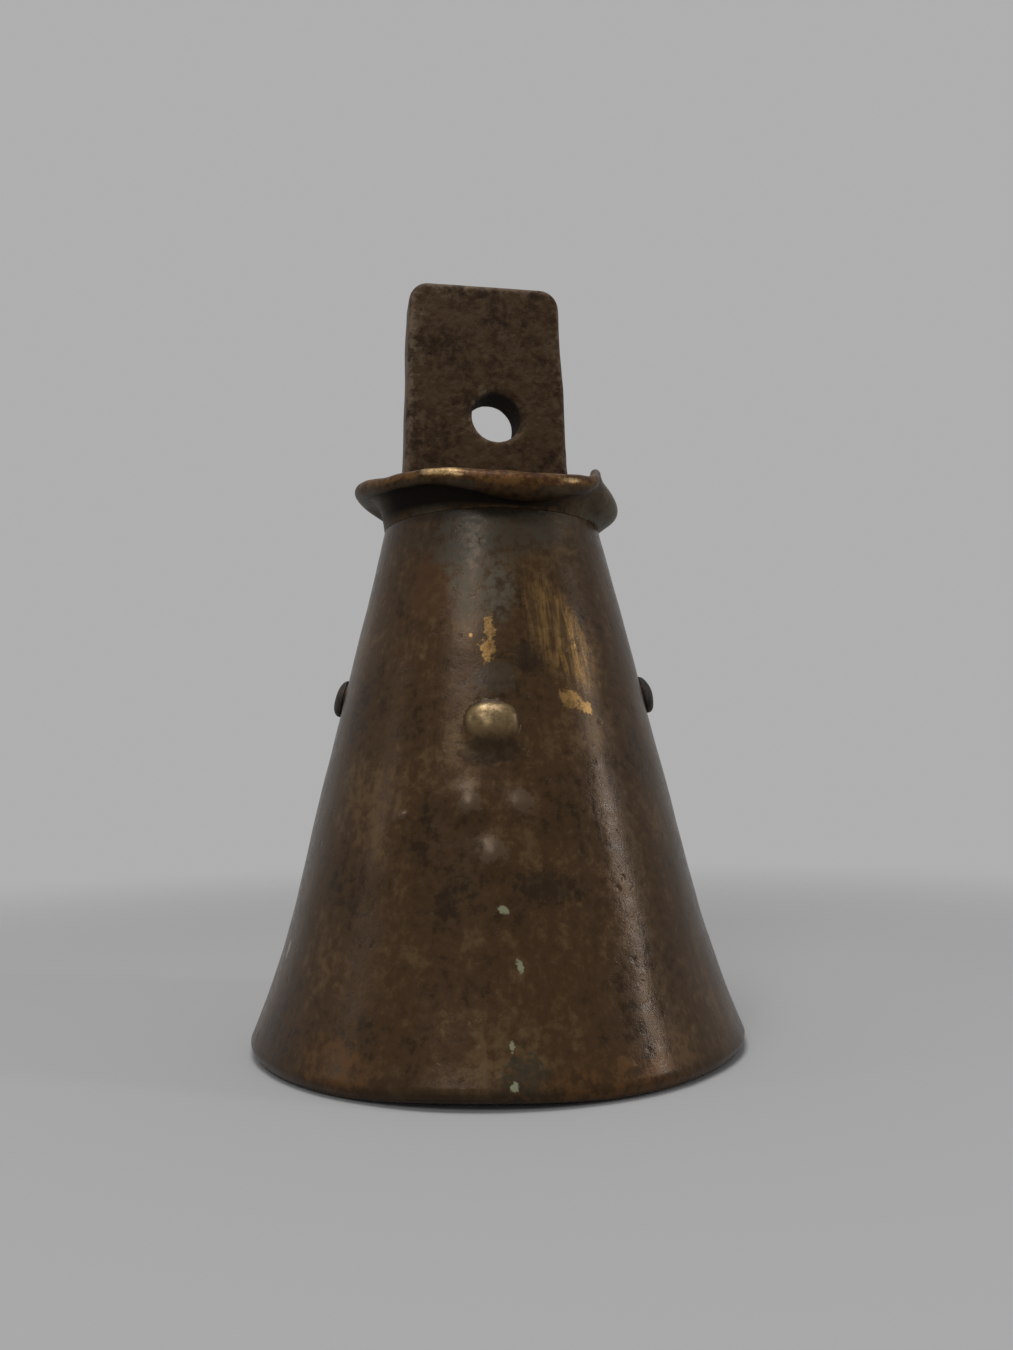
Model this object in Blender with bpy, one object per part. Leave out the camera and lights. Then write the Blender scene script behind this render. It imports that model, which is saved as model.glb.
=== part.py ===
"""Old cast cattle bell, standing on its mouth.

A turned shell is closed by a crown. A flared collar with a beaten lip sits on the crown, and a flat
hanger tang stands in the collar. The tang's tenon goes down through collar, crown and washer, and a key
through the tenon holds the three together. A pin across the shell, peened over outside, carries the
clapper, which swings to the front and to the back.

Metres, +Z up. The origin is the middle of the mouth plane, and the front is on -Y.
"""
from math import atan, cos, hypot, pi, radians, sin

import bmesh
import bpy
from mathutils import Matrix, Vector

# Fit between pieces that touch
CLEARANCE = 0.0003

# Shell
MOUTH_RADIUS = 0.0315
BODY_HEIGHT = 0.0667
CROWN_RADIUS = 0.0146
FLARE_HEIGHT = 0.0179
FLARE_REACH = 0.0014
WALL = 0.0032
CROWN_THICKNESS = 0.0034
CROWN_EDGE_ROUND = 0.0006
CROWN_INNER_ROUND = 0.0015
RIM_ROUND = 0.0016
RIM_INNER_ROUND = 0.0005

# Cast studs on the shell
STUD_WIDTH = 0.0066
STUD_HEIGHT = 0.0054
STUD_PROUD = 0.0016
STUD_LEVEL = 0.0396
PELLET_DIAMETER = 0.0034
PELLET_PROUD = 0.0004
PELLET_ROW_LEVEL = 0.0312
PELLET_ROW_SPREAD_DEG = 6.3
PELLET_LOW_LEVEL = 0.0258

# Collar
COLLAR_FLOOR = 0.0030
LIP_RISE = 0.0006
LIP_REACH = 0.0034
LIP_THICKNESS = 0.0019
LIP_WAVE = 0.0002
LIP_WAVE_COUNT = 5
LEFT_RISE = 0.0022
LEFT_RISE_AT_DEG = -92.0
LEFT_RISE_SPREAD_DEG = 46.0
FRONT_DROOP = 0.0019
FRONT_SWELL = 0.0009
FRONT_AT_DEG = 10.0
FRONT_SPREAD_DEG = 44.0
EAR_RISE = 0.0034
EAR_CURL = 0.0026
EAR_BULGE = 0.0053
EAR_BELLY_RISE = 0.0010
EAR_AT_DEG = 80.0
EAR_SPREAD_DEG = 30.0

# Hanger tang
TANG_TOP_WIDTH = 0.0208
TANG_FOOT_WIDTH = 0.0228
TANG_THICKNESS = 0.0062
TANG_HEIGHT = 0.0310
TANG_CORNER_ROUND = 0.0026
TANG_EDGE_ROUND = 0.0008
TANG_FOOT_FLARE = 0.0008
TANG_FOOT_FLARE_HEIGHT = 0.0060
TANG_OFFSET = -0.0009
TANG_TWIST_DEG = 10.0
HANG_HOLE_DIAMETER = 0.0069
HANG_HOLE_OFFSET = 0.0012
HANG_HOLE_RISE = 0.0123
HANG_HOLE_CHAMFER = 0.0002

# Tenon, washer and key inside the crown
TENON_WIDTH = 0.0120
TENON_THICKNESS = 0.0050
TENON_END = 0.0018
WASHER_MARGIN = 0.0025
WASHER_THICKNESS = 0.0014
KEY_WIDTH = 0.0042
KEY_HEIGHT = 0.0026
KEY_TAPER = 0.0005
KEY_PAST_TENON = 0.0048
KEY_EDGE_ROUND = 0.0003

# Clapper pin
PIN_DROP = 0.0223
PIN_DIAMETER = 0.0045
PIN_WAIST_DIAMETER = 0.0038
PIN_HEAD_DIAMETER = 0.0056
PIN_HEAD_PROUD = 0.0014

# Clapper
EYE_BAR = 0.0025
EYE_SIDE_GAP = 0.0004
SHANK_DIAMETER = 0.0036
SHANK_TIP_DIAMETER = 0.0026
BALL_DIAMETER = 0.0150
BALL_LEVEL = 0.0128
BALL_FLAT_DIAMETER = 0.0056
PEEN_DIAMETER = 0.0046
PEEN_THICKNESS = 0.0012

# Facets
SHELL_STEPS = 72
ROUND_STEPS = 28
BOLT_STEPS = 24
BAR_STEPS = 12
SHARP_DEG = 35.0
MERGE_DISTANCE = 1e-7

# Share of an ellipsoid's width that is left halfway between its middle and its end
HALFWAY_WIDTH = cos(radians(30))

# Sizes that follow from the ones above
CONE_SLOPE = (MOUTH_RADIUS - FLARE_REACH - CROWN_RADIUS) / (BODY_HEIGHT - RIM_ROUND)
CROWN_UNDERSIDE = BODY_HEIGHT - CROWN_THICKNESS
COLLAR_SEAT = BODY_HEIGHT + CLEARANCE
COLLAR_FLOOR_LEVEL = COLLAR_SEAT + COLLAR_FLOOR
TANG_SEAT = COLLAR_FLOOR_LEVEL + CLEARANCE
TANG_TOP = TANG_SEAT + TANG_HEIGHT
TANG_TWIST = radians(TANG_TWIST_DEG)
HANG_HOLE_LEVEL = TANG_SEAT + HANG_HOLE_RISE
WASHER_TOP = CROWN_UNDERSIDE - CLEARANCE
WASHER_BOTTOM = WASHER_TOP - WASHER_THICKNESS
WASHER_RADIUS = hypot(TENON_WIDTH, TENON_THICKNESS) / 2 + WASHER_MARGIN
KEY_TOP = WASHER_BOTTOM - CLEARANCE
KEY_LENGTH = TENON_THICKNESS + 2 * KEY_PAST_TENON
WINDOW_TOP = KEY_TOP + CLEARANCE
WINDOW_BOTTOM = KEY_TOP - KEY_HEIGHT - CLEARANCE
TENON_BOTTOM = WINDOW_BOTTOM - TENON_END
FOOT_HALF_WIDTH = TANG_FOOT_WIDTH / 2 + TANG_FOOT_FLARE
FOOT_REACH = hypot(FOOT_HALF_WIDTH + abs(TANG_OFFSET), TANG_THICKNESS / 2)
COLLAR_FLOOR_RADIUS = FOOT_REACH + CLEARANCE
PIN_LEVEL = BODY_HEIGHT - PIN_DROP
EYE_INNER_RADIUS = PIN_WAIST_DIAMETER / 2 + CLEARANCE
EYE_RING_RADIUS = EYE_INNER_RADIUS + EYE_BAR / 2
WAIST_LENGTH = EYE_BAR + 2 * EYE_SIDE_GAP
BALL_DROP = PIN_LEVEL - BALL_LEVEL


def empty_scene():
    """Remove every object that is already there."""
    for old in list(bpy.data.objects):
        bpy.data.objects.remove(old, do_unlink=True)


def metal(name, colour, roughness):
    """Principled metal with one colour."""
    material = bpy.data.materials.new(name)
    material.use_nodes = True
    shader = material.node_tree.nodes["Principled BSDF"]
    shader.inputs["Base Color"].default_value = (*colour, 1.0)
    shader.inputs["Roughness"].default_value = roughness
    shader.inputs["Metallic"].default_value = 1.0
    return material


def anchor(name, location):
    """Empty that carries the pieces of one body."""
    holder = bpy.data.objects.new(name, None)
    holder.location = location
    bpy.context.scene.collection.objects.link(holder)
    return holder


def solid(name, shape, material=None, parent=None):
    """Turn a bmesh into a named object, shaded smooth with sharp edges kept."""
    bmesh.ops.recalc_face_normals(shape, faces=shape.faces)
    mesh = bpy.data.meshes.new(name)
    shape.to_mesh(mesh)
    shape.free()
    mesh.shade_smooth()
    mesh.set_sharp_from_angle(angle=radians(SHARP_DEG))
    piece = bpy.data.objects.new(name, mesh)
    bpy.context.scene.collection.objects.link(piece)
    if material:
        mesh.materials.append(material)
    if parent:
        piece.parent = parent
    return piece


def tool(name, shape):
    """Body that only cuts or joins another one."""
    piece = solid(name, shape)
    piece.hide_render = True
    piece.display_type = "WIRE"
    return piece


def combine(piece, other, operation):
    """Boolean of a piece with a tool."""
    step = piece.modifiers.new(operation.lower() + "_" + other.name, "BOOLEAN")
    step.operation = operation
    step.solver = "EXACT"
    step.object = other


def turned(profile, steps, axis="Z"):
    """Revolve (radius, height) points about an axis; the first and last points lie on it."""
    shape = bmesh.new()
    points = [shape.verts.new((radius, 0.0, height)) for radius, height in profile]
    edges = [shape.edges.new(pair) for pair in zip(points, points[1:])]
    bmesh.ops.spin(
        shape, geom=points + edges, cent=(0, 0, 0), axis=(0, 0, 1), dvec=(0, 0, 0),
        angle=2 * pi, steps=steps, use_merge=True, use_duplicate=False,
    )
    bmesh.ops.remove_doubles(shape, verts=shape.verts, dist=MERGE_DISTANCE)
    if axis == "X":
        bmesh.ops.rotate(shape, verts=shape.verts, matrix=Matrix.Rotation(pi / 2, 3, "Y"))
    if axis == "Y":
        bmesh.ops.rotate(shape, verts=shape.verts, matrix=Matrix.Rotation(pi / 2, 3, "X"))
    return shape


def arc(centre, radius, start, end, steps):
    """Points of an arc in the profile plane, angles in degrees."""
    turns = [radians(start + (end - start) * i / steps) for i in range(steps + 1)]
    return [(centre[0] + radius * cos(turn), centre[1] + radius * sin(turn)) for turn in turns]


def block(width, depth, bottom, top):
    """Box centred on the Z axis between two levels."""
    shape = bmesh.new()
    bmesh.ops.create_cube(shape, size=1.0)
    bmesh.ops.scale(shape, verts=shape.verts, vec=(width, depth, top - bottom))
    bmesh.ops.translate(shape, verts=shape.verts, vec=(0, 0, (top + bottom) / 2))
    return shape


def line_up_with_tang(piece):
    """Give a piece the tang's place and twist."""
    piece.location = (TANG_OFFSET, 0, 0)
    piece.rotation_euler = (0, 0, TANG_TWIST)


def tenon_slot(name, bottom, top):
    """Tool that cuts the slot for the tenon between two levels."""
    width = TENON_WIDTH + 2 * CLEARANCE
    depth = TENON_THICKNESS + 2 * CLEARANCE
    piece = tool(name, block(width, depth, bottom, top))
    line_up_with_tang(piece)
    return piece


def outer_radius(height):
    """Shell's outside: a cone that flares towards the mouth."""
    cone = CROWN_RADIUS + CONE_SLOPE * (BODY_HEIGHT - height)
    below = max(0.0, FLARE_HEIGHT - height) / (FLARE_HEIGHT - RIM_ROUND)
    return cone + FLARE_REACH * below ** 2


def levels(start, end, steps):
    """Evenly spaced heights from one level to another, the last one left out."""
    return [start + (end - start) * i / steps for i in range(steps)]


def outside_profile():
    """Shell's outside, from the crown's edge down to the rim's flat land."""
    top_edge = BODY_HEIGHT - CROWN_EDGE_ROUND
    edge_centre = (outer_radius(top_edge) - CROWN_EDGE_ROUND, top_edge)
    crown_edge = arc(edge_centre, CROWN_EDGE_ROUND, 90, 0, 2)
    cone_start = top_edge - CROWN_EDGE_ROUND
    walk = levels(cone_start, FLARE_HEIGHT, 5) + levels(FLARE_HEIGHT, RIM_ROUND, 6)
    wall = [(outer_radius(height), height) for height in walk]
    rim = arc((MOUTH_RADIUS - RIM_ROUND, RIM_ROUND), RIM_ROUND, 0, -90, 4)
    return crown_edge + wall + rim


def inside_profile():
    """Shell's inside, from the rim's flat land up to the crown's underside."""
    rim_centre = (outer_radius(RIM_ROUND) - WALL + RIM_INNER_ROUND, RIM_INNER_ROUND)
    rim = arc(rim_centre, RIM_INNER_ROUND, -90, -180, 2)
    fillet_level = CROWN_UNDERSIDE - CROWN_INNER_ROUND
    walk = levels(RIM_ROUND, FLARE_HEIGHT, 5) + levels(FLARE_HEIGHT, fillet_level, 5)
    wall = [(outer_radius(height) - WALL, height) for height in walk]
    fillet_centre = (outer_radius(fillet_level) - WALL - CROWN_INNER_ROUND, fillet_level)
    return rim + wall + arc(fillet_centre, CROWN_INNER_ROUND, 0, 90, 3)


def on_shell(angle_deg, level, sink):
    """Frame on the shell's outside: X along the girth, -Y out of the wall, Z up the wall."""
    turn = Matrix.Rotation(radians(angle_deg), 4, "Z")
    place = Matrix.Translation((0, sink - outer_radius(level), level))
    lean = Matrix.Rotation(-atan(CONE_SLOPE), 4, "X")
    return turn @ place @ lean


def add_stud(shape, angle_deg, level, width, height, proud):
    """Add a rounded stud that stands out of the wall and is rooted no deeper than half the wall."""
    depth = 2 * proud
    sink = depth - proud
    root = (WALL / 2 - sink) / depth
    ball = bmesh.ops.create_uvsphere(
        shape, u_segments=BOLT_STEPS, v_segments=BOLT_STEPS // 2, radius=1 / HALFWAY_WIDTH,
    )["verts"]
    for point in ball:
        point.co.y = min(point.co.y * HALFWAY_WIDTH, root)
    size = Matrix.Diagonal((width / 2, depth, height / 2, 1.0))
    bmesh.ops.transform(shape, verts=ball, matrix=on_shell(angle_deg, level, sink) @ size)


def shell_studs():
    """Large stud on the front and on the back, and three small pellets under the front one."""
    shape = bmesh.new()
    for side in (0, 180):
        add_stud(shape, side, STUD_LEVEL, STUD_WIDTH, STUD_HEIGHT, STUD_PROUD)
    for side in (-PELLET_ROW_SPREAD_DEG, PELLET_ROW_SPREAD_DEG):
        add_stud(shape, side, PELLET_ROW_LEVEL, PELLET_DIAMETER, PELLET_DIAMETER, PELLET_PROUD)
    add_stud(shape, 0, PELLET_LOW_LEVEL, PELLET_DIAMETER, PELLET_DIAMETER, PELLET_PROUD)
    return tool("shell_studs", shape)


def bell_body(material, parent):
    """Cast shell with its crown, studs, tenon slot and pin holes."""
    crown_top = [(0, BODY_HEIGHT)]
    crown_underside = [(0, CROWN_UNDERSIDE)]
    profile = crown_top + outside_profile() + inside_profile() + crown_underside
    body = solid("bell_body", turned(profile, SHELL_STEPS), material, parent)
    combine(body, shell_studs(), "UNION")
    slot = tenon_slot("crown_slot", CROWN_UNDERSIDE - CROWN_THICKNESS, BODY_HEIGHT + CROWN_THICKNESS)
    combine(body, slot, "DIFFERENCE")
    reach = outer_radius(PIN_LEVEL) + PIN_HEAD_PROUD
    radius = PIN_DIAMETER / 2 + CLEARANCE
    through = [(0, reach), (radius, reach), (radius, -reach), (0, -reach)]
    bore = tool("pin_bore", turned(through, BOLT_STEPS, "X"))
    bore.location = (0, 0, PIN_LEVEL)
    combine(body, bore, "DIFFERENCE")
    return body


def swell(angle_deg, centre_deg, spread_deg):
    """Smooth hump round the collar: 1 at its centre, 0 from its spread outward."""
    away = abs((angle_deg - centre_deg + 180) % 360 - 180)
    return cos(pi / 2 * min(1.0, away / spread_deg)) ** 2


def bend(start, control, end, steps):
    """Points of a quadratic curve."""
    points = []
    for i in range(steps + 1):
        share = i / steps
        points.append((1 - share) ** 2 * start + 2 * share * (1 - share) * control + share ** 2 * end)
    return points


def collar_section(angle_deg):
    """Half section of the collar at one angle: neck, underside, lip edge and dish, as (radius, level)."""
    left = swell(angle_deg, LEFT_RISE_AT_DEG, LEFT_RISE_SPREAD_DEG)
    front = swell(angle_deg, FRONT_AT_DEG, FRONT_SPREAD_DEG)
    ear = swell(angle_deg, EAR_AT_DEG, EAR_SPREAD_DEG)
    wave = LIP_WAVE * sin(radians(LIP_WAVE_COUNT * angle_deg))
    neck = Vector((CROWN_RADIUS, COLLAR_SEAT))
    floor = Vector((COLLAR_FLOOR_RADIUS, COLLAR_FLOOR_LEVEL))
    lip_level = COLLAR_FLOOR_LEVEL + LIP_RISE + wave + LEFT_RISE * left - FRONT_DROOP * front + EAR_RISE * ear
    lip_radius = COLLAR_FLOOR_RADIUS + LIP_REACH - wave - EAR_CURL * ear
    lip = Vector((lip_radius, lip_level))
    throat = Vector((CROWN_RADIUS, (COLLAR_SEAT + lip_level) / 2))
    belly = Vector((CROWN_RADIUS + EAR_BULGE, COLLAR_SEAT + EAR_BELLY_RISE))
    waist = throat.lerp(belly, ear)
    along = (lip - waist).normalized()
    half = (LIP_THICKNESS + FRONT_SWELL * front) / 2 * Vector((-along.y, along.x))
    dish = Vector(((lip_radius + COLLAR_FLOOR_RADIUS) / 2, COLLAR_FLOOR_LEVEL))
    underside = bend(neck, waist, lip - half, 6)
    rounded = [lip + along * half.length]
    inside = bend(lip + half, dish, floor, 5)
    return underside + rounded + inside


def crown_collar(material, parent):
    """Dished collar whose beaten lip droops in front and curls up into an ear on the right."""
    angles = [360 * i / SHELL_STEPS for i in range(SHELL_STEPS)]
    sections = [collar_section(angle) for angle in angles]
    shape = bmesh.new()
    rings = []
    for level in range(len(sections[0])):
        ring = []
        for angle, section in zip(angles, sections):
            radius, height = section[level]
            ring.append(shape.verts.new((radius * sin(radians(angle)), -radius * cos(radians(angle)), height)))
        rings.append([shape.edges.new(pair) for pair in zip(ring, ring[1:] + ring[:1])])
        if level in (0, len(sections[0]) - 1):
            shape.faces.new(ring)
    for lower, upper in zip(rings, rings[1:]):
        bmesh.ops.bridge_loops(shape, edges=lower + upper)
    collar = solid("crown_collar", shape, material, parent)
    slot = tenon_slot("collar_slot", COLLAR_SEAT - COLLAR_FLOOR, COLLAR_FLOOR_LEVEL + COLLAR_FLOOR)
    combine(collar, slot, "DIFFERENCE")
    return collar


def tang_half_width(level):
    """Half width of the tang above its shoulders: tapered, with a flared foot."""
    share = (level - TANG_SEAT) / TANG_HEIGHT
    taper = TANG_FOOT_WIDTH + (TANG_TOP_WIDTH - TANG_FOOT_WIDTH) * share
    below = max(0.0, 1 - (level - TANG_SEAT) / TANG_FOOT_FLARE_HEIGHT)
    return taper / 2 + TANG_FOOT_FLARE * below ** 2


def tang_outline():
    """Front outline of the tang above its shoulders, as (x, level), counterclockwise from its foot."""
    corner_level = TANG_TOP - TANG_CORNER_ROUND
    flare_top = TANG_SEAT + TANG_FOOT_FLARE_HEIGHT
    side = [(tang_half_width(level), level) for level in levels(TANG_SEAT, flare_top, 4) + [flare_top]]
    corner_centre = (tang_half_width(corner_level) - TANG_CORNER_ROUND, corner_level)
    right = side + arc(corner_centre, TANG_CORNER_ROUND, 0, 90, 5)
    return right + [(-x, level) for x, level in reversed(right)]


def hang_hole():
    """Tool for the hanging hole, widened at both faces."""
    face = TANG_THICKNESS / 2
    radius = HANG_HOLE_DIAMETER / 2
    wide = radius + 2 * HANG_HOLE_CHAMFER
    past = face + HANG_HOLE_CHAMFER
    inner = face - HANG_HOLE_CHAMFER
    profile = [(0, past), (wide, past), (radius, inner), (radius, -inner), (wide, -past), (0, -past)]
    piece = tool("hang_hole", turned(profile, ROUND_STEPS, "Y"))
    line_up_with_tang(piece)
    along = Matrix.Rotation(TANG_TWIST, 3, "Z") @ Vector((HANG_HOLE_OFFSET, 0, HANG_HOLE_LEVEL))
    piece.location = along + Vector((TANG_OFFSET, 0, 0))
    return piece


def hanger_tang(material, parent):
    """Flat bar with a hanging hole, shoulders on the collar and a tenon with a window for the key."""
    face = TANG_THICKNESS / 2
    shape = bmesh.new()
    front = shape.faces.new([shape.verts.new((x, -face, level)) for x, level in tang_outline()])
    grown = bmesh.ops.extrude_face_region(shape, geom=[front])
    moved = [item for item in grown["geom"] if isinstance(item, bmesh.types.BMVert)]
    bmesh.ops.translate(shape, verts=moved, vec=(0, TANG_THICKNESS, 0))
    bmesh.ops.recalc_face_normals(shape, faces=shape.faces)
    flat = [edge for edge in shape.edges if abs(edge.verts[0].co.y - edge.verts[1].co.y) < face]
    bmesh.ops.bevel(
        shape, geom=flat, offset=TANG_EDGE_ROUND, offset_type="OFFSET", segments=2, profile=0.5, affect="EDGES",
    )
    tang = solid("hanger_tang", shape, material, parent)
    line_up_with_tang(tang)
    tenon = tool("tenon", block(TENON_WIDTH, TENON_THICKNESS, TENON_BOTTOM, TANG_SEAT + TENON_THICKNESS / 2))
    line_up_with_tang(tenon)
    combine(tang, tenon, "UNION")
    combine(tang, hang_hole(), "DIFFERENCE")
    window_width = KEY_WIDTH + 2 * CLEARANCE
    window = tool("key_window", block(window_width, 2 * TENON_THICKNESS, WINDOW_BOTTOM, WINDOW_TOP))
    line_up_with_tang(window)
    combine(tang, window, "DIFFERENCE")
    return tang


def tang_washer(material, parent):
    """Round washer under the crown, slotted for the tenon."""
    profile = [(0, WASHER_TOP), (WASHER_RADIUS, WASHER_TOP), (WASHER_RADIUS, WASHER_BOTTOM), (0, WASHER_BOTTOM)]
    washer = solid("tang_washer", turned(profile, ROUND_STEPS), material, parent)
    line_up_with_tang(washer)
    slot = tenon_slot("washer_slot", WASHER_BOTTOM - WASHER_THICKNESS, WASHER_TOP + WASHER_THICKNESS)
    combine(washer, slot, "DIFFERENCE")
    return washer


def tang_key(material, parent):
    """Tapered key through the tenon, up against the washer."""
    shape = block(KEY_WIDTH, KEY_LENGTH, KEY_TOP - KEY_HEIGHT, KEY_TOP)
    for corner in shape.verts:
        if corner.co.y > 0 and corner.co.z < KEY_TOP - KEY_HEIGHT / 2:
            corner.co.z += KEY_TAPER
    bmesh.ops.bevel(
        shape, geom=shape.edges[:], offset=KEY_EDGE_ROUND, offset_type="OFFSET", segments=1, affect="EDGES",
    )
    key = solid("tang_key", shape, material, parent)
    line_up_with_tang(key)
    return key


def pin_shank():
    """Straight pin with a waist, worn in by the clapper's eye."""
    end = outer_radius(PIN_LEVEL) + PIN_HEAD_PROUD / 2
    full = PIN_DIAMETER / 2
    waist = PIN_WAIST_DIAMETER / 2
    half = WAIST_LENGTH / 2
    slope = half + abs(full - waist)
    upper = [(0, end), (full, end), (full, slope), (waist, half)]
    return tool("pin_shank", turned(upper + [(r, -x) for r, x in reversed(upper)], BOLT_STEPS, "X"))


def pin_seat():
    """Shell's outside, grown by the clearance, to shape the undersides of the pin's heads."""
    top = PIN_LEVEL + PIN_HEAD_DIAMETER
    bottom = PIN_LEVEL - PIN_HEAD_DIAMETER
    grow = CLEARANCE / cos(atan(CONE_SLOPE))
    profile = [(0, top), (outer_radius(top) + grow, top), (outer_radius(bottom) + grow, bottom), (0, bottom)]
    return tool("pin_seat", turned(profile, 4 * SHELL_STEPS))


def clapper_pin(material, parent):
    """Pin across the shell with a head peened over the wall at each end."""
    depth = 2 * PIN_HEAD_PROUD
    flat = PIN_HEAD_DIAMETER / 2 / HALFWAY_WIDTH
    sink = outer_radius(PIN_LEVEL) + CLEARANCE + PIN_HEAD_PROUD - depth
    shape = bmesh.new()
    for side in (-1, 1):
        frame = Matrix.Translation((side * sink, 0, PIN_LEVEL)) @ Matrix.Diagonal((depth, flat, flat, 1.0))
        quarter = Matrix.Rotation(pi / 2, 4, "Y")
        bmesh.ops.create_uvsphere(
            shape, u_segments=BOLT_STEPS, v_segments=BOLT_STEPS // 2, radius=1.0, matrix=frame @ quarter,
        )
    pin = solid("clapper_pin", shape, material, parent)
    combine(pin, pin_seat(), "DIFFERENCE")
    shank = pin_shank()
    shank.location = (0, 0, PIN_LEVEL)
    combine(pin, shank, "UNION")
    return pin


def shank_profile():
    """Shank below the eye, its tip through the ball and the peened end, as (radius, height)."""
    full = SHANK_DIAMETER / 2
    tip = SHANK_TIP_DIAMETER / 2
    peen = PEEN_DIAMETER / 2
    shoulder = ball_flat_drop() + CLEARANCE - BALL_DROP
    peen_top = -ball_flat_drop() - CLEARANCE - BALL_DROP
    peen_bottom = peen_top - PEEN_THICKNESS
    start = -EYE_RING_RADIUS
    rounded = peen_bottom + PEEN_THICKNESS / 2
    return [
        (0, start), (full, start), (full, shoulder), (tip, shoulder), (tip, peen_top), (peen, peen_top),
        (peen, rounded), (tip, peen_bottom), (0, peen_bottom),
    ]


def ball_flat_drop():
    """Distance from the ball's middle to the flats round its bore."""
    return (BALL_DIAMETER ** 2 - BALL_FLAT_DIAMETER ** 2) ** 0.5 / 2


def clapper_rod(material, parent):
    """Forged eye on the pin, with the shank that carries the ball."""
    shape = bmesh.new()
    upright = Matrix.Translation((EYE_RING_RADIUS, 0, 0)) @ Matrix.Rotation(pi / 2, 4, "X")
    circle = bmesh.ops.create_circle(shape, segments=BAR_STEPS, radius=EYE_BAR / 2, matrix=upright)
    edges = list({edge for vert in circle["verts"] for edge in vert.link_edges})
    bmesh.ops.spin(
        shape, geom=circle["verts"] + edges, cent=(0, 0, 0), axis=(0, 0, 1), dvec=(0, 0, 0),
        angle=2 * pi, steps=ROUND_STEPS, use_merge=True, use_duplicate=False,
    )
    bmesh.ops.rotate(shape, verts=shape.verts, matrix=Matrix.Rotation(pi / 2, 3, "Y"))
    rod = solid("clapper_rod", shape, material, parent)
    shank = tool("rod_shank", turned(shank_profile(), BOLT_STEPS))
    shank.parent = parent
    combine(rod, shank, "UNION")
    return rod


def clapper_ball(material, parent):
    """Ball with a bore for the shank's tip and a flat at each end of the bore."""
    radius = BALL_DIAMETER / 2
    edge = 90 - 180 / pi * atan(BALL_FLAT_DIAMETER / 2 / ball_flat_drop())
    outside = arc((0, 0), radius, edge, -edge, 12)
    bore = SHANK_TIP_DIAMETER / 2 + CLEARANCE
    loop = outside + [(bore, outside[-1][1]), (bore, outside[0][1])]
    shape = turned(loop + loop[:1], ROUND_STEPS)
    ball = solid("clapper_ball", shape, material, parent)
    ball.location = (0, 0, -BALL_DROP)
    return ball


def build():
    """Model the whole bell."""
    empty_scene()
    bronze = metal("aged_bronze", (0.060, 0.040, 0.022), 0.42)
    brass = metal("worn_brass", (0.170, 0.095, 0.038), 0.36)
    bar_bronze = metal("rough_bronze", (0.045, 0.032, 0.021), 0.58)
    iron = metal("black_iron", (0.030, 0.026, 0.024), 0.62)
    bell = anchor("bell", (0, 0, 0))
    clapper = anchor("clapper", (0, 0, PIN_LEVEL))
    bell_body(bronze, bell)
    crown_collar(brass, bell)
    hanger_tang(bar_bronze, bell)
    tang_washer(brass, bell)
    tang_key(iron, bell)
    clapper_pin(iron, bell)
    clapper_rod(iron, clapper)
    clapper_ball(iron, clapper)


build()
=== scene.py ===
"""Looks of an old cast cattle bell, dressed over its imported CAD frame.

Each sub-assembly is a class: its fields are its sizes in metres, and its methods model and dress its pieces.
The bell stands on its mouth, +Z runs up its axis, and -Y is the front with the large stud.
"""

import logging
from collections.abc import Callable
from dataclasses import dataclass, field
from enum import Enum
from math import atan, atan2, cos, degrees, exp, hypot, pi, radians, sin, sqrt

import bpy
from mathutils import Matrix, Vector, noise

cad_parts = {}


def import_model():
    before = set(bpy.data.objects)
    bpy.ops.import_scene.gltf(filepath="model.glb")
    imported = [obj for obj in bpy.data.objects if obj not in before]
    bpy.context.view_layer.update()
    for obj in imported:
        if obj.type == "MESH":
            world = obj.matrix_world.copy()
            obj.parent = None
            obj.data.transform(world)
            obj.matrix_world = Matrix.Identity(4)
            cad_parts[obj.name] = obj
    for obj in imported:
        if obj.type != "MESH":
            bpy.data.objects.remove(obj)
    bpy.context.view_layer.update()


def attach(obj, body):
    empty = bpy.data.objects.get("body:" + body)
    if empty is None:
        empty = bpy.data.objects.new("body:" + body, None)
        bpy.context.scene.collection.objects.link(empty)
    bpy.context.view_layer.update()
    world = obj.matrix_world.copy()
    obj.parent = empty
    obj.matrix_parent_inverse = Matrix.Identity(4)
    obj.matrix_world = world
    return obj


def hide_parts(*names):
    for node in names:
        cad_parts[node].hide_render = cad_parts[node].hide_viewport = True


log = logging.getLogger("cattle_bell")

Point = tuple[float, float]
Colour = tuple[float, float, float]
Section = Callable[[float], list[Point]]
EdgeTest = Callable[[Vector, Vector], bool]
FaceTest = Callable[[Vector], bool]

CLEARANCE = 0.0003
MERGE_DISTANCE = 1e-6
SHARP_DEG = 42
MILLIMETRE = 1000.0
ROW_MARK = "row"
SMOOTH_FACTOR = 0.5


class Body(Enum):
    """Bodies of the frame that pieces ride on."""

    BELL = "bell"
    CLAPPER = "clapper"


class Slot(Enum):
    """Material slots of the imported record."""

    SHELL = "shell_bronze"
    COLLAR = "collar_brass"
    TANG = "tang_bronze"
    IRON = "black_iron"


# Modelling by hand

def deselect_all() -> None:
    """Leave no object selected."""
    bpy.ops.object.select_all(action="DESELECT")


def select_only(piece: bpy.types.Object) -> None:
    """Select one object and make it the active one.

    Args:
        piece: Object to select.
    """
    deselect_all()
    piece.select_set(True)
    bpy.context.view_layer.objects.active = piece


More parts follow.
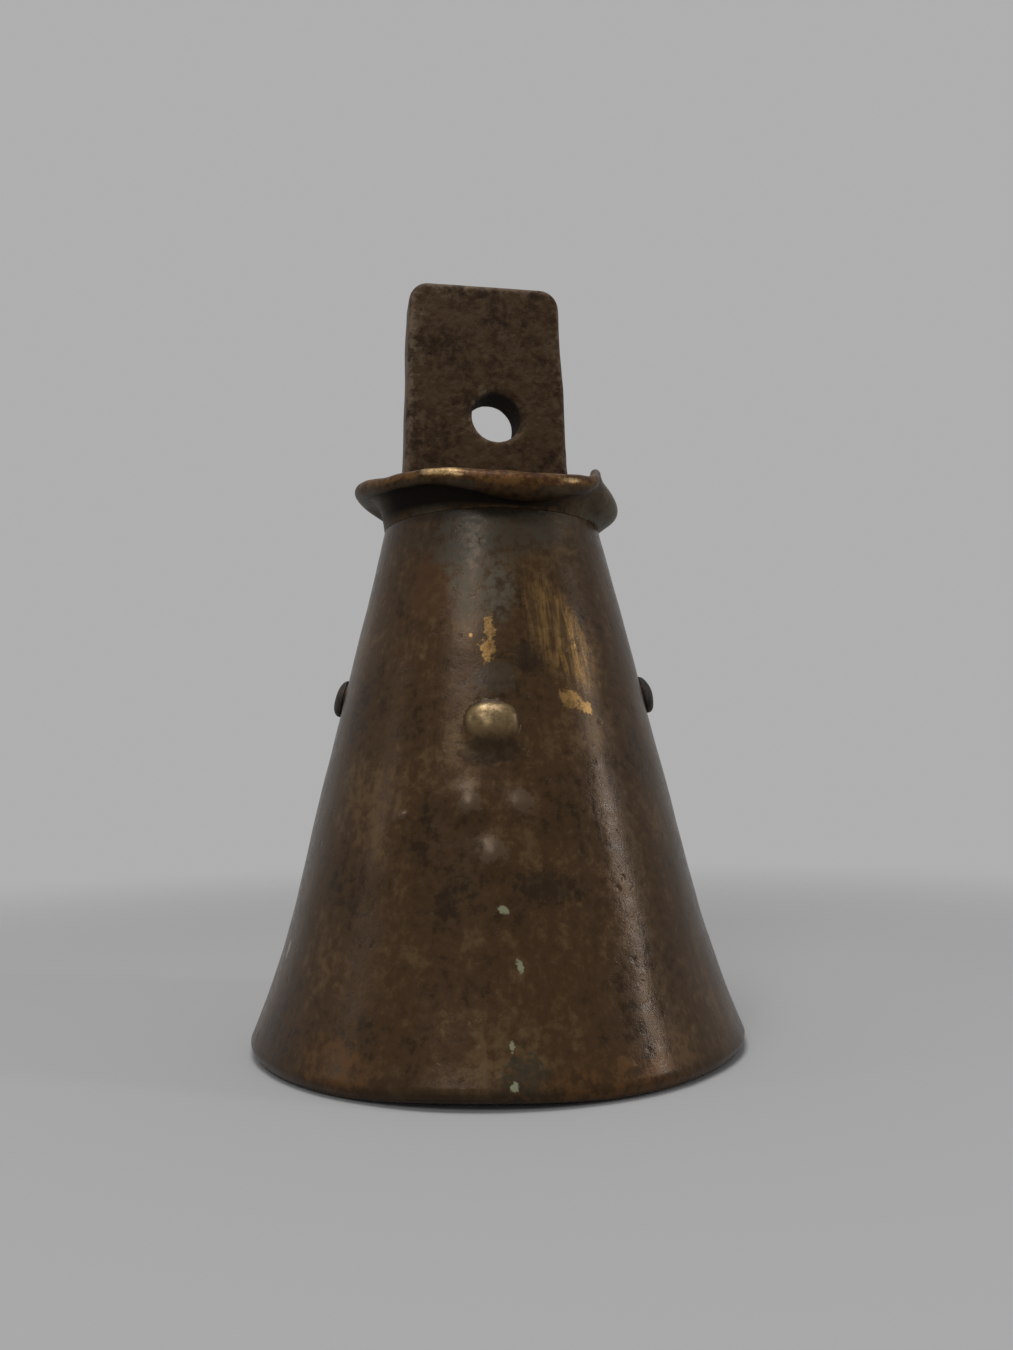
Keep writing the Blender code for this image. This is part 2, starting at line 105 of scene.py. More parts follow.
def name_new(name: str) -> bpy.types.Object:
    """Name the primitive that was just added, and return it.

    Args:
        name: Name of the object.

    Returns:
        The object.
    """
    piece = bpy.context.active_object
    piece.name = name
    piece.data.name = name
    return piece


def settle(piece: bpy.types.Object) -> None:
    """Put the object's place, turn and scale into its mesh."""
    select_only(piece)
    bpy.ops.object.transform_apply(location=True, rotation=True, scale=True)


def apply_step(piece: bpy.types.Object, step: bpy.types.Modifier) -> None:
    """Apply one modifier to the mesh."""
    select_only(piece)
    bpy.ops.object.modifier_apply(modifier=step.name)


def combine(piece: bpy.types.Object, other: bpy.types.Object, operation: str) -> None:
    """Boolean of a piece with a second body, which is used up.

    Args:
        piece: The body that is kept.
        other: The body that cuts it or is joined to it.
        operation: DIFFERENCE or UNION.
    """
    step = piece.modifiers.new("combine", "BOOLEAN")
    step.operation = operation
    step.solver = "EXACT"
    step.object = other
    apply_step(piece, step)
    bpy.data.objects.remove(other, do_unlink=True)


def tidy_mesh(piece: bpy.types.Object) -> None:
    """Merge doubles and turn every face outwards.

    Args:
        piece: Object to work on.
    """
    select_only(piece)
    bpy.ops.object.mode_set(mode="EDIT")
    bpy.ops.mesh.select_all(action="SELECT")
    bpy.ops.mesh.remove_doubles(threshold=MERGE_DISTANCE)
    bpy.ops.mesh.normals_make_consistent(inside=False)
    bpy.ops.object.mode_set(mode="OBJECT")


def on_axis(radius: float, angle_deg: float, level: float) -> Vector:
    """Point at a radius and a level, at an angle from the front towards the right."""
    turn = radians(angle_deg)
    return Vector((radius * sin(turn), -radius * cos(turn), level))


def angle_of(point: Vector) -> float:
    """Angle of a point round the bell's axis, in degrees from the front towards the right."""
    return degrees(atan2(point.x, -point.y))


def draw_rings(name: str, steps: int, section: Section) -> bpy.types.Object:
    """Draw a tube up from a circle and shape each of its rings, as on a potter's wheel.

    Args:
        name: Name of the new piece.
        steps: Points round each ring.
        section: Gives the (radius, level) of every ring at an angle in degrees.

    Returns:
        The closed piece, with rings that meet merged and each point marked with its ring's number.
    """
    deselect_all()
    bpy.ops.mesh.primitive_circle_add(vertices=steps, radius=1.0, location=(0, 0, 0))
    piece = name_new(name)
    count = len(section(0.0))
    bpy.ops.object.mode_set(mode="EDIT")
    bpy.ops.mesh.select_all(action="SELECT")
    bpy.ops.mesh.extrude_repeat(steps=count - 1, offset=(0, 0, 1))
    bpy.ops.object.mode_set(mode="OBJECT")
    known: dict[float, list[Point]] = {}
    rows = piece.data.attributes.new(ROW_MARK, "FLOAT", "POINT")
    for vert in piece.data.vertices:
        angle = round(angle_of(vert.co), 3)
        if angle not in known:
            known[angle] = section(angle)
        row = round(vert.co.z)
        rows.data[vert.index].value = row
        radius, level = known[angle][row]
        vert.co = on_axis(radius, angle, level)
    tidy_mesh(piece)
    return piece


def box(name: str, size: Vector, centre: Vector) -> bpy.types.Object:
    """Add a box of a size at a place, with both in its mesh.

    Args:
        name: Name of the piece.
        size: Length along each axis.
        centre: Middle of the box.

    Returns:
        The box.
    """
    deselect_all()
    bpy.ops.mesh.primitive_cube_add(size=1.0, location=centre)
    piece = name_new(name)
    piece.scale = size
    settle(piece)
    return piece


def bevel_edges(piece: bpy.types.Object, width: float, segments: int, chosen: EdgeTest) -> None:
    """Bevel the edges whose two ends a test chooses.

    Args:
        piece: The piece to work on.
        width: Width of the bevel.
        segments: Faces across it.
        chosen: Test of an edge's two end points.
    """
    select_only(piece)
    bpy.ops.object.mode_set(mode="EDIT")
    bpy.ops.mesh.select_mode(type="EDGE")
    bpy.ops.mesh.select_all(action="DESELECT")
    bpy.ops.object.mode_set(mode="OBJECT")
    points = piece.data.vertices
    for edge in piece.data.edges:
        start, end = edge.vertices
        edge.select = chosen(points[start].co, points[end].co)
    bpy.ops.object.mode_set(mode="EDIT")
    bpy.ops.mesh.bevel(offset=width, segments=segments, affect="EDGES")
    bpy.ops.mesh.select_mode(type="VERT")
    bpy.ops.object.mode_set(mode="OBJECT")


def refine(piece: bpy.types.Object, cuts: int, chosen: FaceTest) -> None:
    """Subdivide the faces whose middle a test chooses.

    Args:
        piece: Object to work on.
        cuts: Number of cuts across each face.
        chosen: Test of a face's middle.
    """
    select_only(piece)
    bpy.ops.object.mode_set(mode="EDIT")
    bpy.ops.mesh.select_mode(type="FACE")
    bpy.ops.mesh.select_all(action="DESELECT")
    bpy.ops.object.mode_set(mode="OBJECT")
    for face in piece.data.polygons:
        face.select = chosen(face.center)
    bpy.ops.object.mode_set(mode="EDIT")
    bpy.ops.mesh.subdivide(number_cuts=cuts, quadcorner="INNERVERT")
    bpy.ops.mesh.select_mode(type="VERT")
    bpy.ops.object.mode_set(mode="OBJECT")


def even_out(piece: bpy.types.Object, grain: float, rounds: int) -> None:
    """Remesh a piece to even faces of one size and soften the steps that this leaves.

    Args:
        piece: The piece to work on.
        grain: Size of the new faces.
        rounds: How often the surface is smoothed.
    """
    select_only(piece)
    piece.data.remesh_voxel_size = grain
    bpy.ops.object.voxel_remesh()
    soften = piece.modifiers.new("soften", "SMOOTH")
    soften.factor = SMOOTH_FACTOR
    soften.iterations = rounds
    apply_step(piece, soften)


def arc(centre: Point, radius: float, start: float, end: float, steps: int) -> list[Point]:
    """Points of an arc in the profile plane, angles in degrees."""
    turns = [radians(start + (end - start) * i / steps) for i in range(steps + 1)]
    return [(centre[0] + radius * cos(turn), centre[1] + radius * sin(turn)) for turn in turns]


def walk(start: float, end: float, steps: int) -> list[float]:
    """Evenly spaced values from start to just before end."""
    return [start + (end - start) * i / steps for i in range(steps)]


def clamp(value: float) -> float:
    """Value held between 0 and 1."""
    return max(0.0, min(1.0, value))


def swell(angle_deg: float, centre_deg: float, spread_deg: float) -> float:
    """Smooth hump round the bell: 1 at its centre, 0 from its spread outward."""
    away = abs((angle_deg - centre_deg + 180) % 360 - 180)
    return cos(pi / 2 * min(1.0, away / spread_deg)) ** 2


def unevenness(point: Vector, wave: float) -> float:
    """Smooth noise from about -1 to 1 at a point, with bumps as long as a wave."""
    return noise.noise(point / wave)


def hand_over(piece: bpy.types.Object, finish: bpy.types.Material, node: str, body: Body, slot: Slot) -> None:
    """Shade and dress a finished piece and let it stand for its CAD node.

    Args:
        piece: The finished piece, at the origin.
        finish: Its material.
        node: CAD node that it stands for.
        body: Body that it rides on.
        slot: The record's slot for its finish; not used.
    """
    select_only(piece)
    bpy.ops.object.shade_smooth_by_angle(angle=radians(SHARP_DEG))
    if ROW_MARK in piece.data.attributes:
        piece.data.attributes.remove(piece.data.attributes[ROW_MARK])
    piece.data.materials.clear()
    piece.data.materials.append(finish)
    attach(piece, body.value)
    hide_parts(node)
    log.info("%s stands for %s: %d faces", piece.name, node, len(piece.data.polygons))


# Finishes

@dataclass(frozen=True)
class Patch:
    """A worn, stained or corroded spot on the shell, in millimetres along the girth and up the wall."""

    along: float
    level: float
    wide: float
    tall: float
    turn_deg: float
    ragged: float


class Brew:
    """A material under way: short calls that add its nodes.

    A Mix node has sockets of the same name for each kind of data, so its colour sockets go by number.
    """

    MIX_SHARE = 0
    MIX_FIRST = 6
    MIX_SECOND = 7
    MIX_RESULT = 2

    def __init__(self, name: str) -> None:
        """Start a material with one Principled shader.

        Args:
            name: Name of the material.
        """
        self.material = bpy.data.materials.new(name)
        self.material.use_nodes = True
        self.nodes = self.material.node_tree.nodes
        self.links = self.material.node_tree.links
        self.shader = self.nodes["Principled BSDF"]
        place = self.nodes.new("ShaderNodeTexCoord").outputs["Object"]
        self.place = self.mapped(place, scale=(MILLIMETRE,) * 3)

    def feed(self, socket: bpy.types.NodeSocket, value: object) -> None:
        """Link a socket to another one, or set its value.

        Args:
            socket: Input of a node.
            value: Output of another node, number or colour.
        """
        if isinstance(value, bpy.types.NodeSocket):
            self.links.new(value, socket)
        else:
            socket.default_value = value

    def mapped(self, vector: object, move: tuple = (0, 0, 0), turn: float = 0.0, scale: tuple = (1, 1, 1),
               kind: str = "POINT") -> bpy.types.NodeSocket:
        """Move, turn about Z and scale a vector; kind TEXTURE does the reverse.

        Args:
            vector: Coordinates to change.
            move: Shift along each axis.
            turn: Turn about Z, in radians.
            scale: Scale along each axis.
            kind: Type of the Mapping node.

        Returns:
            The changed coordinates.
        """
        node = self.nodes.new("ShaderNodeMapping")
        node.vector_type = kind
        node.inputs["Location"].default_value = move
        node.inputs["Rotation"].default_value = (0, 0, turn)
        node.inputs["Scale"].default_value = scale
        self.feed(node.inputs["Vector"], vector)
        return node.outputs["Vector"]

    def cloud(self, scale: float, detail: float, rough: float, vector: object = None) -> bpy.types.NodeSocket:
        """Noise from 0 to 1, with a scale in patches per millimetre.

        Args:
            scale: Patches per millimetre.
            detail: Number of finer layers.
            rough: Weight of the finer layers.
            vector: Coordinates, if not those of the piece.

        Returns:
            The noise.
        """
        node = self.nodes.new("ShaderNodeTexNoise")
        node.inputs["Scale"].default_value = scale
        node.inputs["Detail"].default_value = detail
        node.inputs["Roughness"].default_value = rough
        self.feed(node.inputs["Vector"], vector or self.place)
        return node.outputs["Fac"]

    def cells(self, scale: float) -> bpy.types.NodeSocket:
        """Distance to the nearest of scattered points, with a scale in points per millimetre.

        Args:
            scale: Points per millimetre.

        Returns:
            The distance.
        """
        node = self.nodes.new("ShaderNodeTexVoronoi")
        node.inputs["Scale"].default_value = scale
        self.feed(node.inputs["Vector"], self.place)
        return node.outputs["Distance"]

    def math(self, operation: str, first: object, second: object) -> bpy.types.NodeSocket:
        """One Math node.

        Args:
            operation: Operation of the node.
            first: First value.
            second: Second value.

        Returns:
            The result.
        """
        node = self.nodes.new("ShaderNodeMath")
        node.operation = operation
        self.feed(node.inputs[0], first)
        self.feed(node.inputs[1], second)
        return node.outputs[0]

    def times(self, first: object, second: object) -> bpy.types.NodeSocket:
        """Product of two values."""
        return self.math("MULTIPLY", first, second)

    def plus(self, first: object, second: object) -> bpy.types.NodeSocket:
        """Sum of two values."""
        return self.math("ADD", first, second)

    def less(self, first: object, second: object) -> bpy.types.NodeSocket:
        """Difference of two values."""
        return self.math("SUBTRACT", first, second)

    def most(self, *masks: object) -> bpy.types.NodeSocket:
        """Largest of several masks.

        Args:
            masks: Masks to compare.

        Returns:
            The largest at each place.
        """
        found = masks[0]
        for mask in masks[1:]:
            found = self.math("MAXIMUM", found, mask)
        return found

    def length(self, vector: object) -> bpy.types.NodeSocket:
        """Length of a vector.

        Args:
            vector: Vector to measure.

        Returns:
            The length.
        """
        node = self.nodes.new("ShaderNodeVectorMath")
        node.operation = "LENGTH"
        self.feed(node.inputs[0], vector)
        return node.outputs["Value"]

    def range(self, value: object, low: float, high: float, start: float = 0.0,
              end: float = 1.0) -> bpy.types.NodeSocket:
        """Smooth step from start at low to end at high.

        Args:
            value: Value to map.
            low: Value at which the step starts.
            high: Value at which the step ends.
            start: Result before the step.
            end: Result after the step.

        Returns:
            The mapped value.
        """
        node = self.nodes.new("ShaderNodeMapRange")
        node.interpolation_type = "SMOOTHSTEP"
        self.feed(node.inputs["Value"], value)
        node.inputs["From Min"].default_value = low
        node.inputs["From Max"].default_value = high
        node.inputs["To Min"].default_value = start
        node.inputs["To Max"].default_value = end
        return node.outputs["Result"]

    def tint(self, share: object, first: object, second: object) -> bpy.types.NodeSocket:
        """Mix of two colours.

        Args:
            share: Share of the second colour.
            first: Colour below.
            second: Colour on top.

        Returns:
            The mixed colour.
        """
        node = self.nodes.new("ShaderNodeMix")
        node.data_type = "RGBA"
        self.feed(node.inputs[self.MIX_SHARE], share)
        for number, colour in ((self.MIX_FIRST, first), (self.MIX_SECOND, second)):
            self.feed(node.inputs[number], (*colour, 1.0) if isinstance(colour, tuple) else colour)
        return node.outputs[self.MIX_RESULT]

    def attribute(self, name: str) -> bpy.types.NodeSocket:
        """A value that the mesh carries at its points.

        Args:
            name: Name of the attribute.

        Returns:
            The value.
        """
        node = self.nodes.new("ShaderNodeAttribute")
        node.attribute_name = name
        return node.outputs["Fac"]

    def relief(self, height: object, depth: float, strength: float,
               below: object = None) -> bpy.types.NodeSocket:
        """Bump of a depth in metres, on top of another bump if one is given.

        Args:
            height: Height from 0 to 1.
            depth: Depth in metres.
            strength: Strength of the bump.
            below: Normal of the bump below.

        Returns:
            The normal.
        """
        node = self.nodes.new("ShaderNodeBump")
        node.inputs["Distance"].default_value = depth
        node.inputs["Strength"].default_value = strength
        self.feed(node.inputs["Height"], height)
        if below is not None:
            self.feed(node.inputs["Normal"], below)
        return node.outputs["Normal"]

    def close(self, colour: object, metallic: object, rough: object, normal: object,
              gloss: float) -> bpy.types.Material:
        """Feed the shader and return the material.

        Args:
            colour: Base colour.
            metallic: Share of bare metal.
            rough: Roughness.
            normal: Normal with its relief.
            gloss: Specular level.

        Returns:
            The finished material.
        """
        self.shader.inputs["Specular IOR Level"].default_value = gloss
        self.feed(self.shader.inputs["Base Color"], colour)
        self.feed(self.shader.inputs["Metallic"], metallic)
        self.feed(self.shader.inputs["Roughness"], rough)
        self.feed(self.shader.inputs["Normal"], normal)
        return self.material


@dataclass(frozen=True)
class Stain:
    """Patches of one colour that lie over what is below them."""

    colour: Colour
    share: float
    patches: tuple[Patch, ...]


@dataclass(frozen=True)
class Ground:
    """Coordinates on the shell's wall, in millimetres, and the noises that its patina is mixed from."""

    wall: bpy.types.NodeSocket
    level: bpy.types.NodeSocket
    stain: bpy.types.NodeSocket
    speckle: bpy.types.NodeSocket
    grain: bpy.types.NodeSocket
    ragged: bpy.types.NodeSocket
    worn: bpy.types.NodeSocket
    runs: bpy.types.NodeSocket
    strokes: bpy.types.NodeSocket
    streaked: bpy.types.NodeSocket


@dataclass(frozen=True)
class ShellPatina:
    """Brown patina of the cast shell, rubbed to brass in places, with grey bloomed patina under a painted
    sheen and specks of verdigris; painted highlight on the studs' upper half, painted shade below the stud
    and under the collar.
    """

    umber: Colour = (0.026, 0.0136, 0.0056)
    brown: Colour = (0.052, 0.0268, 0.0100)
    olive: Colour = (0.094, 0.0540, 0.0220)
    russet: Colour = (0.078, 0.0360, 0.0140)
    # Grey bloomed patina with a painted sheen on the upper front.
    grey_bloom_and_sheen: Colour = (0.083, 0.067, 0.045)
    slate: Colour = (0.058, 0.047, 0.032)
    bump_rub: Colour = (0.098, 0.066, 0.040)
    # Dark smoke-blackened tone, also used for painted shade.
    soot_and_shade: Colour = (0.011, 0.0068, 0.0040)
    brass: Colour = (0.240, 0.138, 0.048)
    # Rubbed brass of the studs, with a painted highlight.
    pale_brass_and_highlight: Colour = (0.235, 0.166, 0.082)
    rim_orange: Colour = (0.094, 0.0420, 0.0125)
    verdigris: Colour = (0.270, 0.285, 0.175)
    moss: Colour = (0.022, 0.025, 0.0175)
    gloss: float = 0.17
    least_metal: float = 0.22
    bare_metal: float = 0.48
    girth_radius: float = 23.0
    stroke_turn_deg: float = 14.0
    patch_outer: float = 1.05
    patch_inner: float = 0.65
    polish: float = 0.075
    stud_dulling: float = 0.06
    grey_dulling: float = 0.12
    darken_top: float = 4.6
    darken_full: float = 1.0
    darken_share: float = 0.6
    # Below the first level the studs stay darker, above the second they are lightest: a painted highlight on
    # their upper half.
    stud_shaded_level: float = 37.9
    stud_highlight_level: float = 41.4
    warm: Stain = Stain(russet, 0.55, (Patch(-9.5, 57.0, 5.0, 6.0, 0.0, 1.2),))
    bumps: Stain = Stain(bump_rub, 0.6, (
        Patch(-10.4, 29.5, 0.62, 0.62, 0.0, 0.3),
        Patch(-2.5, 31.0, 1.7, 1.4, 0.0, 1.2),
        Patch(3.3, 30.9, 1.5, 1.4, 0.0, 1.2),
        Patch(0.1, 25.5, 1.7, 1.4, 0.0, 1.2),
    ))
    # Grey bloomed patina with a painted sheen, under the collar right of the front.
    ashen: Stain = Stain(grey_bloom_and_sheen, 0.40, (Patch(9.0, 66.0, 13.0, 4.6, 0.0, 0.9),))
    dull: Stain = Stain(slate, 0.4, (Patch(0.6, 45.2, 3.4, 2.2, 0.0, 0.5),))
    # Dark stains and a crack line; the patches below the stud and under the collar's lip are painted shade.
    soot_and_shade_stain: Stain = Stain(soot_and_shade, 0.50, (
        Patch(0.0, 36.6, 4.4, 2.0, 0.0, 0.7),
        Patch(5.4, 47.6, 3.0, 2.4, 0.0, 0.8),
        Patch(5.2, 21.6, 3.6, 1.9, -12.0, 1.7),
        Patch(11.9, 28.5, 0.30, 3.6, 4.0, 0.6),
        Patch(-5.0, 67.2, 21.0, 2.2, 0.0, 0.5),
    ))
    mossy: Stain = Stain(moss, 0.6, (Patch(2.5, 2.2, 2.0, 3.4, 0.0, 1.7),))
    specks: Stain = Stain(verdigris, 0.7, (
        Patch(0.9, 19.3, 0.72, 0.46, -30.0, 0.9),
        Patch(2.3, 13.6, 0.30, 0.74, 12.0, 1.2),
        Patch(1.4, 6.0, 0.26, 0.55, 0.0, 1.2),
        Patch(1.5, 2.5, 0.30, 0.45, 0.0, 1.2),
        Patch(-27.0, 13.0, 0.50, 1.1, 0.0, 1.0),
    ))
    # Grey bloomed patina with a painted sheen, above the stud.
    bloom_and_sheen_patch: Patch = Patch(-2.0, 59.5, 7.4, 10.0, 0.0, 0.8)
    crown_patch: Patch = Patch(2.0, 65.5, 20.0, 7.5, 0.0, 0.9)
    polished_patch: Patch = Patch(13.2, 18.0, 3.4, 20.0, 2.0, 0.5)
    brushed_patch: Patch = Patch(10.6, 50.7, 9.2, 5.0, -58.0, 1.5)
    rim_patches: tuple[Patch, ...] = (
        Patch(9.5, 1.6, 8.5, 3.0, 4.0, 0.9),
        Patch(-14.0, 3.4, 4.6, 2.8, -10.0, 1.2),
    )
    gold_patches: tuple[Patch, ...] = (
        Patch(-0.6, 48.6, 1.15, 1.6, 8.0, 1.4),
        Patch(-0.2, 51.2, 0.80, 1.5, 0.0, 1.6),
        Patch(-3.0, 50.3, 0.30, 0.24, 0.0, 0.6),
        Patch(11.0, 42.6, 1.9, 1.35, -18.0, 0.9),
        Patch(13.2, 41.4, 1.0, 0.8, -30.0, 1.2),
    )

    def ground(self, brew: Brew) -> Ground:
        """Lay the coordinates and noises that the other methods share.

        Args:
            brew: Material that is being made.

        Returns:
            The coordinates and noises.
        """
        axes = brew.nodes.new("ShaderNodeSeparateXYZ")
        brew.feed(axes.inputs[0], brew.place)
        turn = brew.math("ARCTAN2", axes.outputs["X"], brew.times(axes.outputs["Y"], -1.0))
        girth = brew.nodes.new("ShaderNodeCombineXYZ")
        brew.feed(girth.inputs["X"], brew.times(turn, self.girth_radius))
        brew.feed(girth.inputs["Y"], axes.outputs["Z"])
        wall = girth.outputs["Vector"]
        grain = brew.cloud(3.2, 3.0, 0.6)
        ragged = brew.cloud(1.1, 5.0, 0.7)
        brushed = brew.mapped(wall, turn=radians(self.stroke_turn_deg), scale=(0.85, 0.10, 1.0))
        strokes = brew.cloud(1.0, 3.0, 0.6, brushed)
        return Ground(
            wall=wall,
            level=axes.outputs["Z"],
            stain=brew.cloud(0.11, 6.0, 0.62),
            speckle=brew.cloud(0.85, 5.0, 0.65),
            grain=grain,
            ragged=ragged,
            worn=brew.plus(ragged, brew.times(brew.less(grain, 0.5), 0.5)),
            runs=brew.cloud(0.5, 3.0, 0.6, brew.mapped(wall, scale=(1.0, 0.12, 1.0))),
            strokes=strokes,
            streaked=brew.plus(brew.times(strokes, 0.85), brew.times(grain, 0.15)),
        )

    def spot(self, brew: Brew, wall: object, patch: Patch, edge: object) -> bpy.types.NodeSocket:
        """Mask of a patch with a ragged edge.

        Args:
            brew: Material that is being made.
            wall: Coordinates on the wall, in millimetres.
            patch: Place, size, turn and raggedness.
            edge: Noise that breaks the edge.

        Returns:
            1 inside the patch, 0 outside.
        """
        place = (patch.along, patch.level, 0)
        size = (patch.wide, patch.tall, 1)
        away = brew.length(brew.mapped(wall, place, radians(patch.turn_deg), size, "TEXTURE"))
        shift = brew.times(brew.less(edge, 0.5), 2 * patch.ragged)
        return brew.range(brew.plus(away, shift), self.patch_outer, self.patch_inner)

    def spots(self, brew: Brew, wall: object, patches: tuple[Patch, ...],
              edge: object) -> bpy.types.NodeSocket:
        """Mask of several patches together."""
        return brew.most(*[self.spot(brew, wall, patch, edge) for patch in patches])

    def stained(self, brew: Brew, ground: Ground, colour: object, stain: Stain,
                edge: object) -> bpy.types.NodeSocket:
        """Lay a stain over a colour."""
        mask = self.spots(brew, ground.wall, stain.patches, edge)
        return brew.tint(brew.times(mask, stain.share), colour, stain.colour)

    def plain_wall(self, brew: Brew, ground: Ground) -> bpy.types.NodeSocket:
        """Mottled brown of the wall, inside and out.

        Args:
            brew: Material that is being made.
            ground: Coordinates and noises that the wall's layers share.

        Returns:
            The colour.
        """
        tone = brew.plus(brew.times(ground.stain, 0.55), brew.times(ground.speckle, 0.45))
        tone = brew.plus(brew.times(tone, 0.82), brew.times(ground.runs, 0.18))
        colour = brew.tint(brew.range(tone, 0.385, 0.490), self.umber, self.brown)
        return brew.tint(brew.range(tone, 0.495, 0.620), colour, self.olive)

    def bloom_and_sheen_mask(self, brew: Brew, ground: Ground) -> bpy.types.NodeSocket:
        """Where the grey bloomed patina with its painted sheen lies above the stud."""
        bloom_and_sheen = self.spot(brew, ground.wall, self.bloom_and_sheen_patch, ground.stain)
        return brew.times(bloom_and_sheen, brew.range(ground.speckle, 0.40, 0.60, 0.18, 0.92))

    def crown_mask(self, brew: Brew, ground: Ground) -> bpy.types.NodeSocket:
        """Where the wall is dull grey below the collar."""
        crown = self.spot(brew, ground.wall, self.crown_patch, ground.stain)
        return brew.times(crown, brew.range(ground.speckle, 0.38, 0.60, 0.25, 0.95))

    def rim_colour(self, brew: Brew, ground: Ground, colour: object) -> bpy.types.NodeSocket:
        """Darken the foot of the wall towards the mouth, with orange metal showing through in places.

        Args:
            brew: Material that is being made.
            ground: Coordinates and noises that the wall's layers share.
            colour: Colour of the wall so far.

        Returns:
            The colour with its rim.
        """
        # Darker towards the mouth.
        darkened_foot = brew.times(brew.range(ground.level, self.darken_top, self.darken_full), self.darken_share)
        colour = brew.tint(darkened_foot, colour, self.umber)
        rim = self.spots(brew, ground.wall, self.rim_patches, ground.ragged)
        rim = brew.times(rim, brew.range(ground.speckle, 0.40, 0.60, 0.12, 0.72))
        return brew.tint(rim, colour, self.rim_orange)

    def gold_mask(self, brew: Brew, ground: Ground) -> bpy.types.NodeSocket:
        """Where the wall is rubbed to brass, in brushed streaks and in flakes.

        Args:
            brew: Material that is being made.
            ground: Coordinates and noises that the wall's layers share.

        Returns:
            The mask.
        """
        streaks = self.spot(brew, ground.wall, self.brushed_patch, ground.streaked)
        streaks = brew.times(streaks, brew.range(ground.strokes, 0.40, 0.60, 0.07, 0.84))
        gold = brew.most(streaks, self.spots(brew, ground.wall, self.gold_patches, ground.worn))
        return brew.times(gold, brew.range(ground.speckle, 0.34, 0.58, 0.55, 1.0))

    def stud_mask(self, brew: Brew, ground: Ground) -> bpy.types.NodeSocket:
        """Where the studs are rubbed to brass, lighter on their upper half as a painted highlight.

        Args:
            brew: Material that is being made.
            ground: Coordinates and noises that the wall's layers share.

        Returns:
            The mask.
        """
        upper = brew.range(ground.level, self.stud_shaded_level, self.stud_highlight_level, 0.22, 0.88)
        stud = brew.times(brew.range(brew.attribute("stud"), 0.15, 0.75), upper)
        return brew.times(stud, brew.range(ground.ragged, 0.36, 0.56, 0.42, 1.0))

    def roughness(self, brew: Brew, ground: Ground, stud: object, grey: object) -> bpy.types.NodeSocket:
        """Roughness of the wall: least where it is polished, most under the grey bloomed patina with its
        painted sheen.

        Args:
            brew: Material that is being made.
            ground: Coordinates and noises that the wall's layers share.
            stud: Mask of the rubbed studs with their painted highlight.
            grey: Mask of the grey bloomed patina with its painted sheen.

        Returns:
            The roughness.
        """
        rough = brew.range(ground.speckle, 0.30, 0.70, 0.23, 0.35)
        polished = self.spot(brew, ground.wall, self.polished_patch, ground.stain)
        rough = brew.less(rough, brew.times(polished, self.polish))
        rough = brew.plus(rough, brew.times(stud, self.stud_dulling))
        return brew.plus(rough, brew.times(grey, self.grey_dulling))

    def pitted(self, brew: Brew, ground: Ground) -> bpy.types.NodeSocket:
        """Fine relief of the cast skin: grain, pits and shallow mottling.

        Args:
            brew: Material that is being made.
            ground: Coordinates and noises that the wall's layers share.

        Returns:
            The normal.
        """
        pits = brew.range(brew.cells(0.42), 0.05, 0.26)
        pits = brew.most(pits, brew.range(ground.ragged, 0.46, 0.52))
        normal = brew.relief(ground.grain, 0.00003, 0.24)
        normal = brew.relief(pits, 0.00010, 0.34, normal)
        return brew.relief(ground.speckle, 0.00018, 0.20, normal)

    def material(self) -> bpy.types.Material:
        """Mix the finish.

        Returns:
            The material.
        """
        brew = Brew("shell_patina")
        ground = self.ground(brew)
        bare_wall = self.plain_wall(brew, ground)
        bloom_and_sheen = self.bloom_and_sheen_mask(brew, ground)
        crown = self.crown_mask(brew, ground)
        gold = self.gold_mask(brew, ground)
        stud = self.stud_mask(brew, ground)
        colour = self.stained(brew, ground, bare_wall, self.warm, ground.stain)
        # Grey bloomed patina with a painted sheen on the upper front.
        colour = brew.tint(bloom_and_sheen, colour, self.grey_bloom_and_sheen)
        colour = self.stained(brew, ground, colour, self.bumps, ground.ragged)
        colour = self.stained(brew, ground, colour, self.ashen, ground.stain)
        colour = brew.tint(crown, colour, self.slate)
        # Dull grey, dark stains with painted shade below the stud and under the collar's lip, and moss.
        for stain in (self.dull, self.soot_and_shade_stain, self.mossy):
            colour = self.stained(brew, ground, colour, stain, ground.ragged)
        colour = self.rim_colour(brew, ground, colour)
        colour = brew.tint(gold, colour, self.brass)
        # Rubbed brass on the studs, lighter on their upper half as a painted highlight.
        colour = brew.tint(stud, colour, self.pale_brass_and_highlight)
        colour = self.stained(brew, ground, colour, self.specks, ground.worn)
        outside = brew.attribute("outside")
        colour = brew.tint(outside, bare_wall, colour)
        bare = brew.times(brew.most(gold, stud), outside)
        metallic = brew.plus(brew.times(bare, self.bare_metal), self.least_metal)
        rough = self.roughness(brew, ground, stud, brew.most(bloom_and_sheen, crown))
        return brew.close(colour, metallic, rough, self.pitted(brew, ground), self.gloss)


